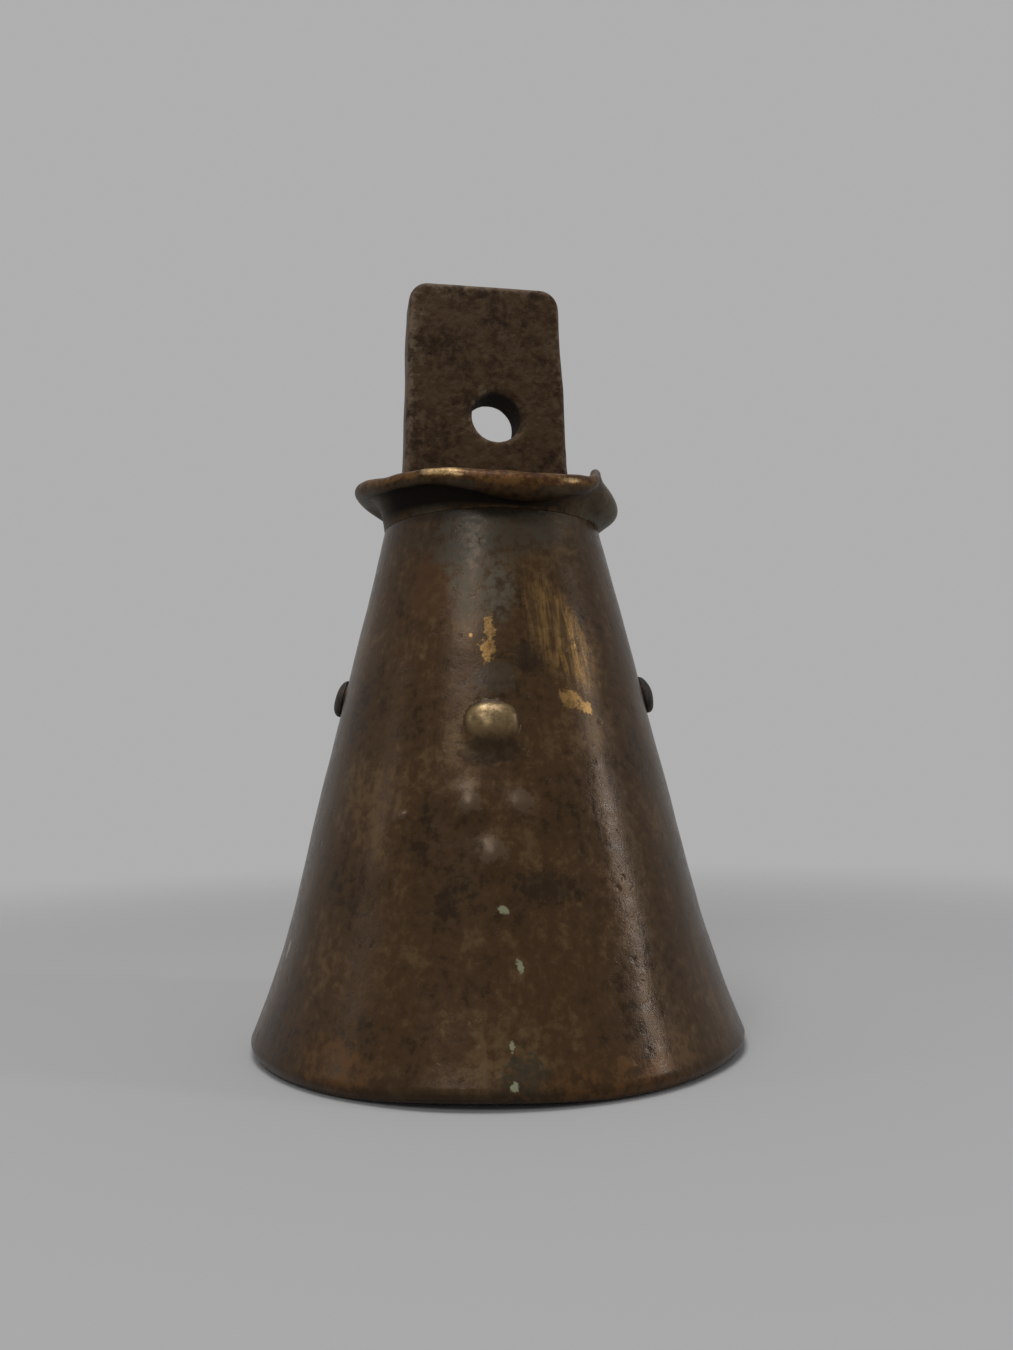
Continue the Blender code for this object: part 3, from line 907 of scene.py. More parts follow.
@dataclass(frozen=True)
class CollarBrass:
    """Brass of the collar: brown, blackened in the hollow under the lip by smoke and by painted shade, rubbed
    bright along the crest of the lip with a painted highlight.
    """

    # Smoke-blackening and painted shade in the hollow under the lip and in the crease before the ear.
    soot_and_shade: Colour = (0.0050, 0.0034, 0.0022)
    umber: Colour = (0.023, 0.0140, 0.0070)
    brown: Colour = (0.066, 0.0355, 0.0140)
    rust: Colour = (0.050, 0.0215, 0.0075)
    rubbed: Colour = (0.114, 0.0545, 0.0175)
    # Rubbed brass along the crest of the lip, with a painted highlight.
    bright_rub_and_highlight: Colour = (0.460, 0.310, 0.150)
    grey_green: Colour = (0.070, 0.062, 0.042)
    ash: Colour = (0.108, 0.090, 0.062)
    gloss: float = 0.08
    least_metal: float = 0.34
    bare_metal: float = 0.40
    polish: float = 0.08
    soot_and_shade_share: float = 0.93
    soot_dulling: float = 0.35

    def material(self) -> bpy.types.Material:
        """Mix the finish.

        Returns:
            The material.
        """
        brew = Brew("collar_brass")
        stain = brew.cloud(0.16, 5.0, 0.6)
        speckle = brew.cloud(0.9, 5.0, 0.65)
        grain = brew.cloud(3.0, 3.0, 0.6)
        crest, rub_and_highlight = brew.attribute("crest"), brew.attribute("rub_and_highlight")
        hollow, ashen = brew.attribute("hollow"), brew.attribute("ashen")
        shift = brew.less(speckle, 0.5)
        colour = brew.tint(brew.range(speckle, 0.34, 0.62), self.umber, self.brown)
        colour = brew.tint(brew.range(stain, 0.48, 0.64, 0.0, 0.45), colour, self.grey_green)
        ashy = brew.times(ashen, brew.range(speckle, 0.30, 0.66, 0.45, 0.95))
        colour = brew.tint(ashy, colour, self.ash)
        broken = brew.plus(crest, brew.times(shift, 0.7))
        rubbed = brew.range(broken, 0.30, 0.85)
        patches = brew.range(brew.cloud(0.5, 4.0, 0.65), 0.43, 0.57)
        colour = brew.tint(rubbed, colour, brew.tint(patches, self.rust, self.rubbed))
        # The crest is rubbed bright, which also paints a highlight on it.
        worn = brew.plus(brew.times(crest, rub_and_highlight), brew.times(shift, 0.9))
        bright_rub_and_highlight = brew.range(worn, 0.70, 1.10, 0.0, 0.9)
        colour = brew.tint(bright_rub_and_highlight, colour, self.bright_rub_and_highlight)
        # Darken the hollow under the lip with smoke-blackening and painted shade.
        colour = brew.tint(brew.times(hollow, self.soot_and_shade_share), colour, self.soot_and_shade)
        metallic = brew.plus(brew.times(bright_rub_and_highlight, self.bare_metal), self.least_metal)
        metallic = brew.times(metallic, brew.range(hollow, 0.0, 1.0, 1.0, 0.1))
        rough = brew.range(speckle, 0.30, 0.70, 0.34, 0.50)
        rough = brew.less(rough, brew.times(bright_rub_and_highlight, self.polish))
        rough = brew.plus(rough, brew.times(hollow, self.soot_dulling))
        normal = brew.relief(grain, 0.00005, 0.5)
        normal = brew.relief(speckle, 0.00022, 0.32, normal)
        return brew.close(colour, metallic, rough, normal, self.gloss)


@dataclass(frozen=True)
class TangBronze:
    """Rough dark bronze of the tang, with a pale mottled skin and rubbed metal near its edges that also paint
    a highlight on them, and painted shade in its hole.
    """

    dark: Colour = (0.0160, 0.0082, 0.0037)
    brown: Colour = (0.051, 0.0274, 0.0122)
    pale: Colour = (0.112, 0.077, 0.048)
    rubbed: Colour = (0.150, 0.108, 0.074)
    # Painted shade in the wall of the hanging hole.
    soot_and_shade: Colour = (0.0100, 0.0054, 0.0027)
    gloss: float = 0.10
    least_metal: float = 0.25
    bare_metal: float = 0.40
    soot_and_shade_share: float = 0.85
    soot_dulling: float = 0.25

    def material(self) -> bpy.types.Material:
        """Mix the finish.

        Returns:
            The material.
        """
        brew = Brew("tang_bronze")
        stain = brew.cloud(0.20, 5.0, 0.62)
        speckle = brew.cloud(0.75, 5.0, 0.68)
        grain = brew.cloud(2.6, 4.0, 0.65)
        edge = brew.attribute("edge")
        tone = brew.plus(brew.times(stain, 0.5), brew.times(speckle, 0.5))
        colour = brew.tint(brew.range(tone, 0.36, 0.56), self.dark, self.brown)
        # Pale skin near the edges, partly a painted highlight along the bevels.
        skin = brew.times(brew.range(speckle, 0.46, 0.66), brew.range(edge, 0.10, 0.75, 0.22, 0.80))
        colour = brew.tint(skin, colour, self.pale)
        # Rubbed metal near the edges and the hole, partly a painted highlight on the bevels and the hole's
        # chamfer.
        rub_and_highlight = brew.times(brew.range(edge, 0.64, 1.0), brew.range(speckle, 0.36, 0.60, 0.12, 0.85))
        colour = brew.tint(rub_and_highlight, colour, self.rubbed)
        bore = brew.attribute("bore")
        # Painted shade in the wall of the hanging hole.
        colour = brew.tint(brew.times(bore, self.soot_and_shade_share), colour, self.soot_and_shade)
        metallic = brew.plus(brew.times(rub_and_highlight, self.bare_metal), self.least_metal)
        metallic = brew.times(metallic, brew.range(bore, 0.0, 1.0, 1.0, 0.2))
        rough = brew.range(speckle, 0.30, 0.72, 0.48, 0.70)
        rough = brew.plus(rough, brew.times(bore, self.soot_dulling))
        pits = brew.range(brew.cells(0.60), 0.04, 0.34)
        normal = brew.relief(grain, 0.00008, 0.6)
        normal = brew.relief(pits, 0.00014, 0.5, normal)
        normal = brew.relief(speckle, 0.00035, 0.5, normal)
        return brew.close(colour, metallic, rough, normal, self.gloss)


@dataclass(frozen=True)
class BlackIron:
    """Forged iron, black with thin rust and a little bare metal."""

    black: Colour = (0.016, 0.0130, 0.0110)
    grey: Colour = (0.050, 0.041, 0.034)
    rust: Colour = (0.078, 0.038, 0.017)
    gloss: float = 0.30
    metal: float = 0.45

    def material(self) -> bpy.types.Material:
        """Mix the finish.

        Returns:
            The material.
        """
        brew = Brew("black_iron")
        stain = brew.cloud(0.35, 5.0, 0.62)
        speckle = brew.cloud(1.3, 5.0, 0.65)
        grain = brew.cloud(3.6, 3.0, 0.6)
        colour = brew.tint(brew.range(speckle, 0.36, 0.62), self.black, self.grey)
        colour = brew.tint(brew.range(stain, 0.50, 0.64, 0.0, 0.8), colour, self.rust)
        rough = brew.range(speckle, 0.30, 0.70, 0.45, 0.72)
        normal = brew.relief(grain, 0.00006, 0.6)
        normal = brew.relief(speckle, 0.00025, 0.55, normal)
        return brew.close(colour, self.metal, rough, normal, self.gloss)


# Sub-assemblies

@dataclass
class Shell:
    """Cast shell: a cone with a flared mouth, closed by a crown, with cast studs."""

    mouth_radius: float = 0.0315
    height: float = 0.0667
    crown_radius: float = 0.0146
    flare_height: float = 0.0179
    flare_reach: float = 0.0014
    wall: float = 0.0032
    crown_thickness: float = 0.0034
    crown_edge_round: float = 0.0001
    crown_inner_round: float = 0.0015
    rim_round: float = 0.0016
    rim_inner_round: float = 0.0005
    rim_wear: float = 0.00055
    rim_wear_at_deg: float = -3.0
    rim_wear_spread_deg: float = 34.0
    rim_wear_height: float = 0.0045
    stud_width: float = 0.0064
    stud_height: float = 0.0056
    stud_proud: float = 0.0015
    stud_square: float = 2.6
    stud_dome: float = 2.2
    stud_skirt: float = 1.2
    stud_melt: float = 0.4
    stud_sides_deg: tuple[float, ...] = (0.0, 180.0)
    stud_level: float = 0.0396
    pellet_diameter: float = 0.0044
    pellet_proud: float = 0.0005
    pellets: tuple[Point, ...] = ((-6.3, 0.0306), (8.2, 0.0305), (0.3, 0.0250))
    pimples: tuple[Point, ...] = ((-26.0, 0.0295),)
    pimple_diameter: float = 0.0014
    pimple_proud: float = 0.00030
    bump_fall: float = 1.6
    stud_margin: float = 1.35
    bump_margin: float = 2.4
    long_wave: float = 0.0125
    long_wave_depth: float = 0.00016
    short_wave: float = 0.0042
    short_wave_depth: float = 0.00006
    relief_fade: float = 0.0025
    steps: int = 240
    crown_rows: int = 4
    crown_edge_rows: int = 4
    outside_rows: int = 112
    rim_rows: int = 8
    rim_inner_rows: int = 4
    inside_rows: int = 26
    fillet_rows: int = 5
    cap_shares: tuple[float, ...] = (0.33, 0.67, 1.0)
    fine_cuts: int = 2

    @property
    def studs(self) -> tuple[Point, ...]:
        """Angle and level of each large stud."""
        return tuple((side, self.stud_level) for side in self.stud_sides_deg)

    @property
    def slope(self) -> float:
        """How much the cone widens for each metre down."""
        return (self.mouth_radius - self.flare_reach - self.crown_radius) / (self.height - self.rim_round)

    def outer_radius(self, level: float) -> float:
        """Radius of the outside at a level.

        Args:
            level: Height above the mouth, in metres.

        Returns:
            The radius, in metres.
        """
        cone = self.crown_radius + self.slope * (self.height - level)
        below = max(0.0, self.flare_height - level) / (self.flare_height - self.rim_round)
        return cone + self.flare_reach * below ** 2

    def profile(self) -> list[Point]:
        """Whole profile, from the top of the crown over the outside and the rim to the crown's underside.

        Returns:
            Points as (radius, level).
        """
        top_edge = self.height - self.crown_edge_round
        edge_centre = (self.outer_radius(top_edge) - self.crown_edge_round, top_edge)
        crown = [(share * edge_centre[0], self.height) for share in walk(0.0, 1.0, self.crown_rows)]
        crown += arc(edge_centre, self.crown_edge_round, 90, 0, self.crown_edge_rows)
        outside = walk(top_edge - self.crown_edge_round, self.rim_round, self.outside_rows)
        wall = [(self.outer_radius(level), level) for level in outside]
        rim_centre = (self.mouth_radius - self.rim_round, self.rim_round)
        rim = arc(rim_centre, self.rim_round, 0, -90, self.rim_rows)
        inner_radius = self.outer_radius(self.rim_round) - self.wall + self.rim_inner_round
        inner_centre = (inner_radius, self.rim_inner_round)
        rim += arc(inner_centre, self.rim_inner_round, -90, -180, self.rim_inner_rows)
        underside = self.height - self.crown_thickness
        fillet = underside - self.crown_inner_round
        levels = walk(self.rim_round, fillet, self.inside_rows)
        inside = [(self.outer_radius(level) - self.wall, level) for level in levels]
        fillet_centre = (self.outer_radius(fillet) - self.wall - self.crown_inner_round, fillet)
        inside += arc(fillet_centre, self.crown_inner_round, 0, 90, self.fillet_rows)
        cap = [((1 - share) * fillet_centre[0], underside) for share in self.cap_shares]
        return crown + wall + rim + inside + cap

    def offset_from(self, angle: float, level: float, spot: Point, width: float, height: float) -> Point:
        """Place on the wall seen from a spot, as shares of the spot's half width and half height."""
        turn = (angle - spot[0] + 180) % 360 - 180
        return radians(turn) * self.outer_radius(level) / (width / 2), (level - spot[1]) / (height / 2)

    def away_from(self, angle: float, level: float, spot: Point, width: float, height: float) -> float:
        """Distance from a spot on the wall, as a share of the spot's half width and half height."""
        return hypot(*self.offset_from(angle, level, spot, width, height))

    def stud_share(self, angle: float, level: float) -> float:
        """Height of the large studs at a place, as a share of their full height.

        Args:
            angle: Angle round the bell, in degrees.
            level: Height above the mouth, in metres.

        Returns:
            A dome with a crisp upper edge that melts into the wall below.
        """
        share = 0.0
        for spot in self.studs:
            across, up = self.offset_from(angle, level, spot, self.stud_width, self.stud_height)
            squared = abs(across) ** self.stud_square + abs(up) ** self.stud_square
            away = squared ** (1 / self.stud_square)
            crisp = sqrt(max(0.0, 1 - away ** self.stud_dome))
            soft = cos(pi / 2 * min(1.0, away / self.stud_skirt)) ** 2
            low = clamp(self.stud_melt - up)
            share = max(share, crisp * (1 - low) + soft * low)
        return share

    def bumps(self, angle: float, level: float, spots: tuple[Point, ...], diameter: float) -> float:
        """Height of small round bumps at a place, as a share of their full height."""
        aways = [self.away_from(angle, level, spot, diameter, diameter) for spot in spots]
        return sum(exp(-self.bump_fall * away ** 2) for away in aways)

    def relief(self, point: Vector) -> float:
        """How far the outside stands out from the turned shape at a point.

        Args:
            point: Place on the piece, in metres.

        Returns:
            The height, in metres.
        """
        angle = angle_of(point)
        level = point.z
        height = self.stud_proud * self.stud_share(angle, level)
        height += self.pellet_proud * self.bumps(angle, level, self.pellets, self.pellet_diameter)
        height += self.pimple_proud * self.bumps(angle, level, self.pimples, self.pimple_diameter)
        height += self.long_wave_depth * unevenness(point, self.long_wave)
        return height + self.short_wave_depth * unevenness(point, self.short_wave)

    def is_outside(self, point: Vector) -> bool:
        """Whether a point lies on the outside of the wall."""
        return hypot(point.x, point.y) > self.outer_radius(point.z) - self.wall / 3

    def rework(self, piece: bpy.types.Object) -> None:
        """Raise the studs, roughen the wall and wear the rim, and mark studs and outside for the finish.

        Args:
            piece: Object to work on.
        """
        for name in ("stud", "outside"):
            piece.data.attributes.new(name, "FLOAT", "POINT")
        marks = piece.data.attributes
        for vert in piece.data.vertices:
            point = vert.co.copy()
            angle = angle_of(point)
            radius = hypot(point.x, point.y)
            worn = swell(angle, self.rim_wear_at_deg, self.rim_wear_spread_deg)
            lift = self.rim_wear * worn * max(0.0, 1 - point.z / self.rim_wear_height)
            outside = self.is_outside(point)
            if outside and self.rim_round / 2 < point.z < self.height - 2 * self.crown_edge_round:
                radius += self.relief(point) * min(1.0, (self.height - point.z) / self.relief_fade)
                marks["stud"].data[vert.index].value = self.stud_share(angle, point.z)
            marks["outside"].data[vert.index].value = outside
            vert.co = on_axis(radius, angle, point.z + lift)

    def near_feature(self, middle: Vector) -> bool:
        """Whether a face's middle is near a stud, pellet or pimple on the outside.

        Args:
            middle: Middle of a face.

        Returns:
            True where the mesh has to be finer.
        """
        if not self.is_outside(middle):
            return False
        angle = angle_of(middle)
        wide = self.stud_margin * self.stud_width
        small = self.bump_margin * self.pellet_diameter
        spots = [(spot, wide) for spot in self.studs]
        spots += [(spot, small) for spot in self.pellets + self.pimples]
        return any(self.away_from(angle, middle.z, spot, size, size) < 1 for spot, size in spots)

    def build(self, finish: bpy.types.Material, tang: "Tang", pin: "Pin") -> None:
        """Model the shell, cut its slot and pin holes, and hand it over.

        Args:
            finish: Material of the piece.
            tang: Tang, whose tenon goes through the slot.
            pin: Pin, whose holes go through the wall.
        """
        profile = self.profile()
        piece = draw_rings("cast_shell", self.steps, lambda angle: profile)
        refine(piece, self.fine_cuts, self.near_feature)
        self.rework(piece)
        middle = self.height - self.crown_thickness / 2
        combine(piece, tang.slot_tool(middle, 3 * self.crown_thickness), "DIFFERENCE")
        combine(piece, pin.bore_tool(self), "DIFFERENCE")
        hand_over(piece, finish, "bell_body", Body.BELL, Slot.SHELL)


@dataclass
class Collar:
    """Dished collar on the crown; its beaten lip rises on the left and curls into an ear on the right."""

    seat: float = 0.06672
    neck_radius: float = 0.0146
    floor_level: float = 0.0700
    floor_radius: float = 0.013774
    lip_rise: float = 0.0006
    lip_reach: float = 0.0034
    lip_thickness: float = 0.0019
    lip_wave: float = 0.0002
    lip_wave_count: int = 5
    left_rise: float = 0.0022
    left_at_deg: float = -92.0
    left_spread_deg: float = 46.0
    front_droop: float = 0.0020
    front_swell: float = 0.0016
    front_at_deg: float = 15.0
    front_spread_deg: float = 44.0
    ear_rise: float = 0.0034
    ear_curl: float = 0.0026
    ear_bulge: float = 0.0053
    ear_belly_rise: float = 0.0010
    ear_thinning: float = 0.0007
    ear_at_deg: float = 77.0
    ear_spread_deg: float = 35.0
    # Where the lip is rubbed bright with a painted highlight.
    least_rub_and_highlight: float = 0.2
    front_rub_and_highlight_deg: float = -19.0
    front_rub_and_highlight_spread_deg: float = 28.0
    ear_rub_and_highlight_deg: float = 33.0
    ear_rub_and_highlight_spread_deg: float = 14.0
    ear_rub_and_highlight_top: float = 0.75
    ear_rub_and_highlight_fade: float = 0.2
    left_swell: float = 0.0007
    bead_start: float = -0.75 * pi
    bead_end: float = 0.5 * pi
    undercut: float = 0.0004
    throat_drop: float = 0.0012
    throat_reach: float = 0.0005
    crease_depth: float = 0.0004
    crease_at_deg: float = 58.0
    crease_spread_deg: float = 8.0
    # Painted shade in the crease between the lip's end and the ear.
    crease_shade: float = 0.4
    hollow_at_deg: float = -18.0
    hollow_spread_deg: float = 82.0
    hollow_gain: float = 1.6
    hollow_fade: float = 0.25
    ashen_right_deg: float = 72.0
    ashen_left_deg: float = -98.0
    ashen_right_spread_deg: float = 46.0
    ashen_left_spread_deg: float = 32.0
    seam_rows: int = 4
    beat_wave: float = 0.0036
    beat_depth: float = 0.00014
    steps: int = 216
    seat_rows: int = 4
    underside_rows: int = 16
    edge_rows: int = 16
    dish_rows: int = 12
    crest_rows: int = 4
    crest_start: float = 0.25
    crest_fade: float = 0.25
    floor_shares: tuple[float, ...] = (1.0, 0.8, 0.6, 0.3, 0.0)

    @property
    def height_shift(self) -> float:
        """Offset that makes the lip's ups and downs differ from its ins and outs."""
        return 10 * self.beat_wave

    def bend(self, start: Vector, control: Vector, end: Vector, steps: int) -> list[Vector]:
        """Points of a quadratic curve, its last point left out.

        Args:
            start: First point.
            control: Point that pulls the curve.
            end: Last point, left out.
            steps: Number of points.

        Returns:
            The points.
        """
        points = []
        for share in walk(0.0, 1.0, steps):
            points.append((1 - share) ** 2 * start + 2 * share * (1 - share) * control + share ** 2 * end)
        return points

    def section(self, angle: float) -> list[Point]:
        """Section at an angle: seat, neck, underside, rounded lip, dish and floor.

        Args:
            angle: Angle round the bell, in degrees.

        Returns:
            Points as (radius, level).
        """
        left = swell(angle, self.left_at_deg, self.left_spread_deg)
        front = swell(angle, self.front_at_deg, self.front_spread_deg)
        ear = swell(angle, self.ear_at_deg, self.ear_spread_deg)
        crease = swell(angle, self.crease_at_deg, self.crease_spread_deg)
        wave = self.lip_wave * sin(radians(self.lip_wave_count * angle))
        neck = Vector((self.neck_radius, self.seat))
        floor = Vector((self.floor_radius, self.floor_level))
        lip_level = self.floor_level + self.lip_rise + wave + self.left_rise * left
        lip_level += self.ear_rise * ear - self.front_droop * front
        lip_radius = self.floor_radius + self.lip_reach - wave
        lip_radius -= self.ear_curl * ear + self.crease_depth * crease
        lip = Vector((lip_radius, lip_level))
        throat = Vector((self.neck_radius + self.throat_reach, max(self.seat, lip_level - self.throat_drop)))
        belly = Vector((self.neck_radius + self.ear_bulge, self.seat + self.ear_belly_rise))
        waist = throat.lerp(belly, ear)
        along = (lip - waist).normalized()
        thick = self.lip_thickness + self.front_swell * front
        thick += self.left_swell * left - self.ear_thinning * ear
        half = thick / 2
        across = Vector((-along.y, along.x))
        dish = Vector(((lip_radius + self.floor_radius) / 2, self.floor_level))
        seat = [Vector((share * self.neck_radius, self.seat)) for share in walk(0.0, 1.0, self.seat_rows)]
        bead = []
        for turn in walk(self.bead_start, self.bead_end, self.edge_rows):
            bead.append(lip + half * (cos(turn) * along + sin(turn) * across))
        under = bead[0] - self.undercut * along + self.undercut * across
        underside = self.bend(neck, waist, under, self.underside_rows)
        inside = self.bend(lip + half * across, dish, floor, self.dish_rows)
        inner = [Vector((share * self.floor_radius, self.floor_level)) for share in self.floor_shares]
        return [(point.x, point.y) for point in seat + underside + bead + inside + inner]

    def bead_share(self, row: float) -> float:
        """How far a ring is round the lip's bead: 0 where the underside ends, 1 where the dish begins."""
        return (row - self.seat_rows - self.underside_rows) / self.edge_rows

    def crest_share(self, row: float) -> float:
        """1 along the outer and upper side of the lip's bead, 0 under it and down in the dish.

        Args:
            row: Number of a ring, counted from the seat.

        Returns:
            The share, from 0 to 1.
        """
        bead = self.bead_share(row)
        if bead <= 1:
            return clamp((bead - self.crest_start) / self.crest_fade)
        return max(0.0, 1 - (bead - 1) * self.edge_rows / self.crest_rows)

    def hollow_share(self, row: float, angle: float) -> float:
        """How dark the hollow under the lip is from smoke-blackening and painted shade, with painted shade
        also in the crease before the ear, at a ring and an angle.

        Args:
            row: Number of a ring, counted from the seat.
            angle: Angle round the bell, in degrees.

        Returns:
            The share, from 0 to 1.
        """
        below_bead = 1 - self.bead_share(row) / self.hollow_fade
        above_seam = (row - self.seat_rows) / self.seam_rows
        under = clamp(min(below_bead, above_seam))
        front = min(1.0, self.hollow_gain * swell(angle, self.hollow_at_deg, self.hollow_spread_deg))
        crease = self.crease_shade * swell(angle, self.crease_at_deg, self.crease_spread_deg)
        return under * max(front, crease)

    def ashen_share(self, row: float, angle: float) -> float:
        """How grey the collar is at a place: most at the ear, and under the lip at the far left.

        Args:
            row: Number of a ring, counted from the seat.
            angle: Angle round the bell, in degrees.

        Returns:
            The share, from 0 to 1.
        """
        right = swell(angle, self.ashen_right_deg, self.ashen_right_spread_deg)
        left = swell(angle, self.ashen_left_deg, self.ashen_left_spread_deg) * (1 - self.crest_share(row))
        return max(right, left)

    def rub_and_highlight(self, row: float, angle: float) -> float:
        """How bright the lip is rubbed, with a painted highlight: most left of the front, and low on the bead
        before the ear.

        Args:
            row: Number of a ring, counted from the seat.
            angle: Angle round the bell, in degrees.

        Returns:
            The share, from 0 to 1.
        """
        low = clamp((self.ear_rub_and_highlight_top - self.bead_share(row)) / self.ear_rub_and_highlight_fade)
        front = swell(angle, self.front_rub_and_highlight_deg, self.front_rub_and_highlight_spread_deg)
        ear = low * swell(angle, self.ear_rub_and_highlight_deg, self.ear_rub_and_highlight_spread_deg)
        return self.least_rub_and_highlight + (1 - self.least_rub_and_highlight) * max(front, ear)

    def rework(self, piece: bpy.types.Object) -> None:
        """Beat the lip uneven, and mark for the finish its crest, its rubbed places with their painted
        highlight, its hollow with smoke-blackening and painted shade, and its grey places.

        Args:
            piece: Object to work on.
        """
        for name in ("crest", "rub_and_highlight", "hollow", "ashen"):
            piece.data.attributes.new(name, "FLOAT", "POINT")
        marks = piece.data.attributes
        for vert in piece.data.vertices:
            point = vert.co.copy()
            angle = angle_of(point)
            radius = hypot(point.x, point.y)
            row = marks[ROW_MARK].data[vert.index].value
            marks["crest"].data[vert.index].value = self.crest_share(row)
            marks["rub_and_highlight"].data[vert.index].value = self.rub_and_highlight(row, angle)
            marks["hollow"].data[vert.index].value = self.hollow_share(row, angle)
            marks["ashen"].data[vert.index].value = self.ashen_share(row, angle)
            beaten = self.beat_depth * clamp((radius - self.floor_radius) / self.lip_reach)
            radius += beaten * unevenness(point, self.beat_wave)
            lift = beaten * unevenness(point + Vector((0, 0, self.height_shift)), self.beat_wave)
            vert.co = on_axis(radius, angle, point.z + lift)

    def build(self, finish: bpy.types.Material, tang: "Tang") -> None:
        """Model the collar, cut its slot and hand it over.

        Args:
            finish: Material of the piece.
            tang: Tang, whose tenon goes through the slot.
        """
        piece = draw_rings("beaten_collar", self.steps, self.section)
        self.rework(piece)
        middle = (self.seat + self.floor_level) / 2
        combine(piece, tang.slot_tool(middle, 2 * (self.floor_level - self.seat)), "DIFFERENCE")
        hand_over(piece, finish, "crown_collar", Body.BELL, Slot.COLLAR)


@dataclass
class Tang:
    """Flat drilled tang with its tenon, and the washer and key that hold it from inside."""

    seat: float = 0.0703
    height: float = 0.0310
    top_width: float = 0.0208
    foot_width: float = 0.0228
    thickness: float = 0.0062
    corner_round: float = 0.0026
    edge_round: float = 0.0008
    foot_flare: float = 0.0011
    foot_flare_height: float = 0.0060
    offset: float = -0.0009
    twist_deg: float = 10.0
    hole_diameter: float = 0.0069
    hole_offset: float = 0.0012
    hole_rise: float = 0.0123
    hole_chamfer: float = 0.0004
    hole_skew_deg: float = 4.0
    # Share of painted shade on the hole's chamfers.
    hole_edge_shade: float = 0.5
    tenon_width: float = 0.0120
    tenon_thickness: float = 0.0050
    tenon_bottom: float = 0.05492
    key_width: float = 0.0042
    key_height: float = 0.0026
    key_taper: float = 0.0005
    key_past_tenon: float = 0.0048
    key_edge_round: float = 0.0003
    washer_top: float = 0.0630
    washer_thickness: float = 0.0014
    washer_margin: float = 0.0025
    washer_shares: tuple[float, ...] = (0.0, 0.5)
    wobble_wave: float = 0.0075
    wobble_depth: float = 0.00022
    wobble_power: int = 4
    right_shift: float = 0.04
    skin_wave: float = 0.0026
    skin_depth: float = 0.00007
    edge_reach: float = 0.0021
    left_edge_reach: float = 0.0034
    grain: float = 0.00026
    smoothing: int = 4
    washer_steps: int = 64
    washer_edge_rows: int = 4
    hole_steps: int = 64
    corner_segments: int = 8
    edge_segments: int = 3

    @property
    def key_top(self) -> float:
        """Level of the key's upper face, under the washer."""
        return self.washer_top - self.washer_thickness - CLEARANCE

    def put_in_line(self, piece: bpy.types.Object) -> None:
        """Give a piece the tang's place and twist, in its mesh.

        Args:
            piece: Object to work on.
        """
        piece.location = (self.offset, 0, 0)
        piece.rotation_euler = (0, 0, radians(self.twist_deg))
        settle(piece)

    def slot_tool(self, middle: float, height: float) -> bpy.types.Object:
        """Box that cuts the slot for the tenon round a level.

        Args:
            middle: Level of the box's middle.
            height: Height of the box.

        Returns:
            The box.
        """
        size = Vector((self.tenon_width + 2 * CLEARANCE, self.tenon_thickness + 2 * CLEARANCE, height))
        piece = box("slot_tool", size, Vector((0, 0, middle)))
        self.put_in_line(piece)
        return piece

    def half_width(self, level: float) -> float:
        """Half width of the bar at a level: tapered, with a flared foot.

        Args:
            level: Height above the mouth, in metres.

        Returns:
            The half width, in metres.
        """
        rise = level - self.seat
        taper = self.foot_width + (self.top_width - self.foot_width) * rise / self.height
        below = max(0.0, 1 - max(0.0, rise) / self.foot_flare_height)
        return taper / 2 + self.foot_flare * below ** 2

    def hole_tool(self) -> bpy.types.Object:
        """Round body that cuts the hanging hole and its two chamfers.

        Returns:
            The body.
        """
        face = self.thickness / 2
        radius = self.hole_diameter / 2
        wide = radius + 2 * self.hole_chamfer
        past = face + self.hole_chamfer
        inner = face - self.hole_chamfer
        rows = [(0, past), (wide, past), (radius, inner), (radius, -inner), (wide, -past), (0, -past)]
        piece = draw_rings("hole_tool", self.hole_steps, lambda angle: rows)
        piece.rotation_euler = (pi / 2, 0, radians(self.hole_skew_deg))
        piece.location = (self.hole_offset, 0, self.seat + self.hole_rise)
        settle(piece)
        return piece

    def bar(self) -> bpy.types.Object:
        """Bar with rounded corners and edges, its tenon joined on, its hole and key window cut.

        Returns:
            The bar.
        """
        top = self.seat + self.height
        middle = Vector((0, 0, self.seat + self.height / 2))
        piece = box("forged_tang", Vector((self.top_width, self.thickness, self.height)), middle)
        high = top - self.corner_round / 2

        def is_top_corner(start: Vector, end: Vector) -> bool:
            """Whether an edge is one of the two upper corners."""
            return min(start.z, end.z) > high and abs(start.x - end.x) < MERGE_DISTANCE

        def lies_in_face(start: Vector, end: Vector) -> bool:
            """Whether an edge outlines the front or the back face."""
            return abs(start.y - end.y) < MERGE_DISTANCE

        bevel_edges(piece, self.corner_round, self.corner_segments, is_top_corner)
        bevel_edges(piece, self.edge_round, self.edge_segments, lies_in_face)
        tenon_top = self.seat + self.tenon_thickness / 2
        size = Vector((self.tenon_width, self.tenon_thickness, tenon_top - self.tenon_bottom))
        combine(piece, box("tenon", size, Vector((0, 0, (tenon_top + self.tenon_bottom) / 2))), "UNION")
        combine(piece, self.hole_tool(), "DIFFERENCE")
        size = Vector((self.key_width + 2 * CLEARANCE, 2 * self.thickness, self.key_height + 2 * CLEARANCE))
        window = box("key_window", size, Vector((0, 0, self.key_top - self.key_height / 2)))
        combine(piece, window, "DIFFERENCE")
        return piece

    def from_hole(self, point: Vector) -> float:
        """Distance of a point from the hole's middle, seen from the front."""
        return hypot(point.x - self.hole_offset, point.z - self.seat - self.hole_rise)

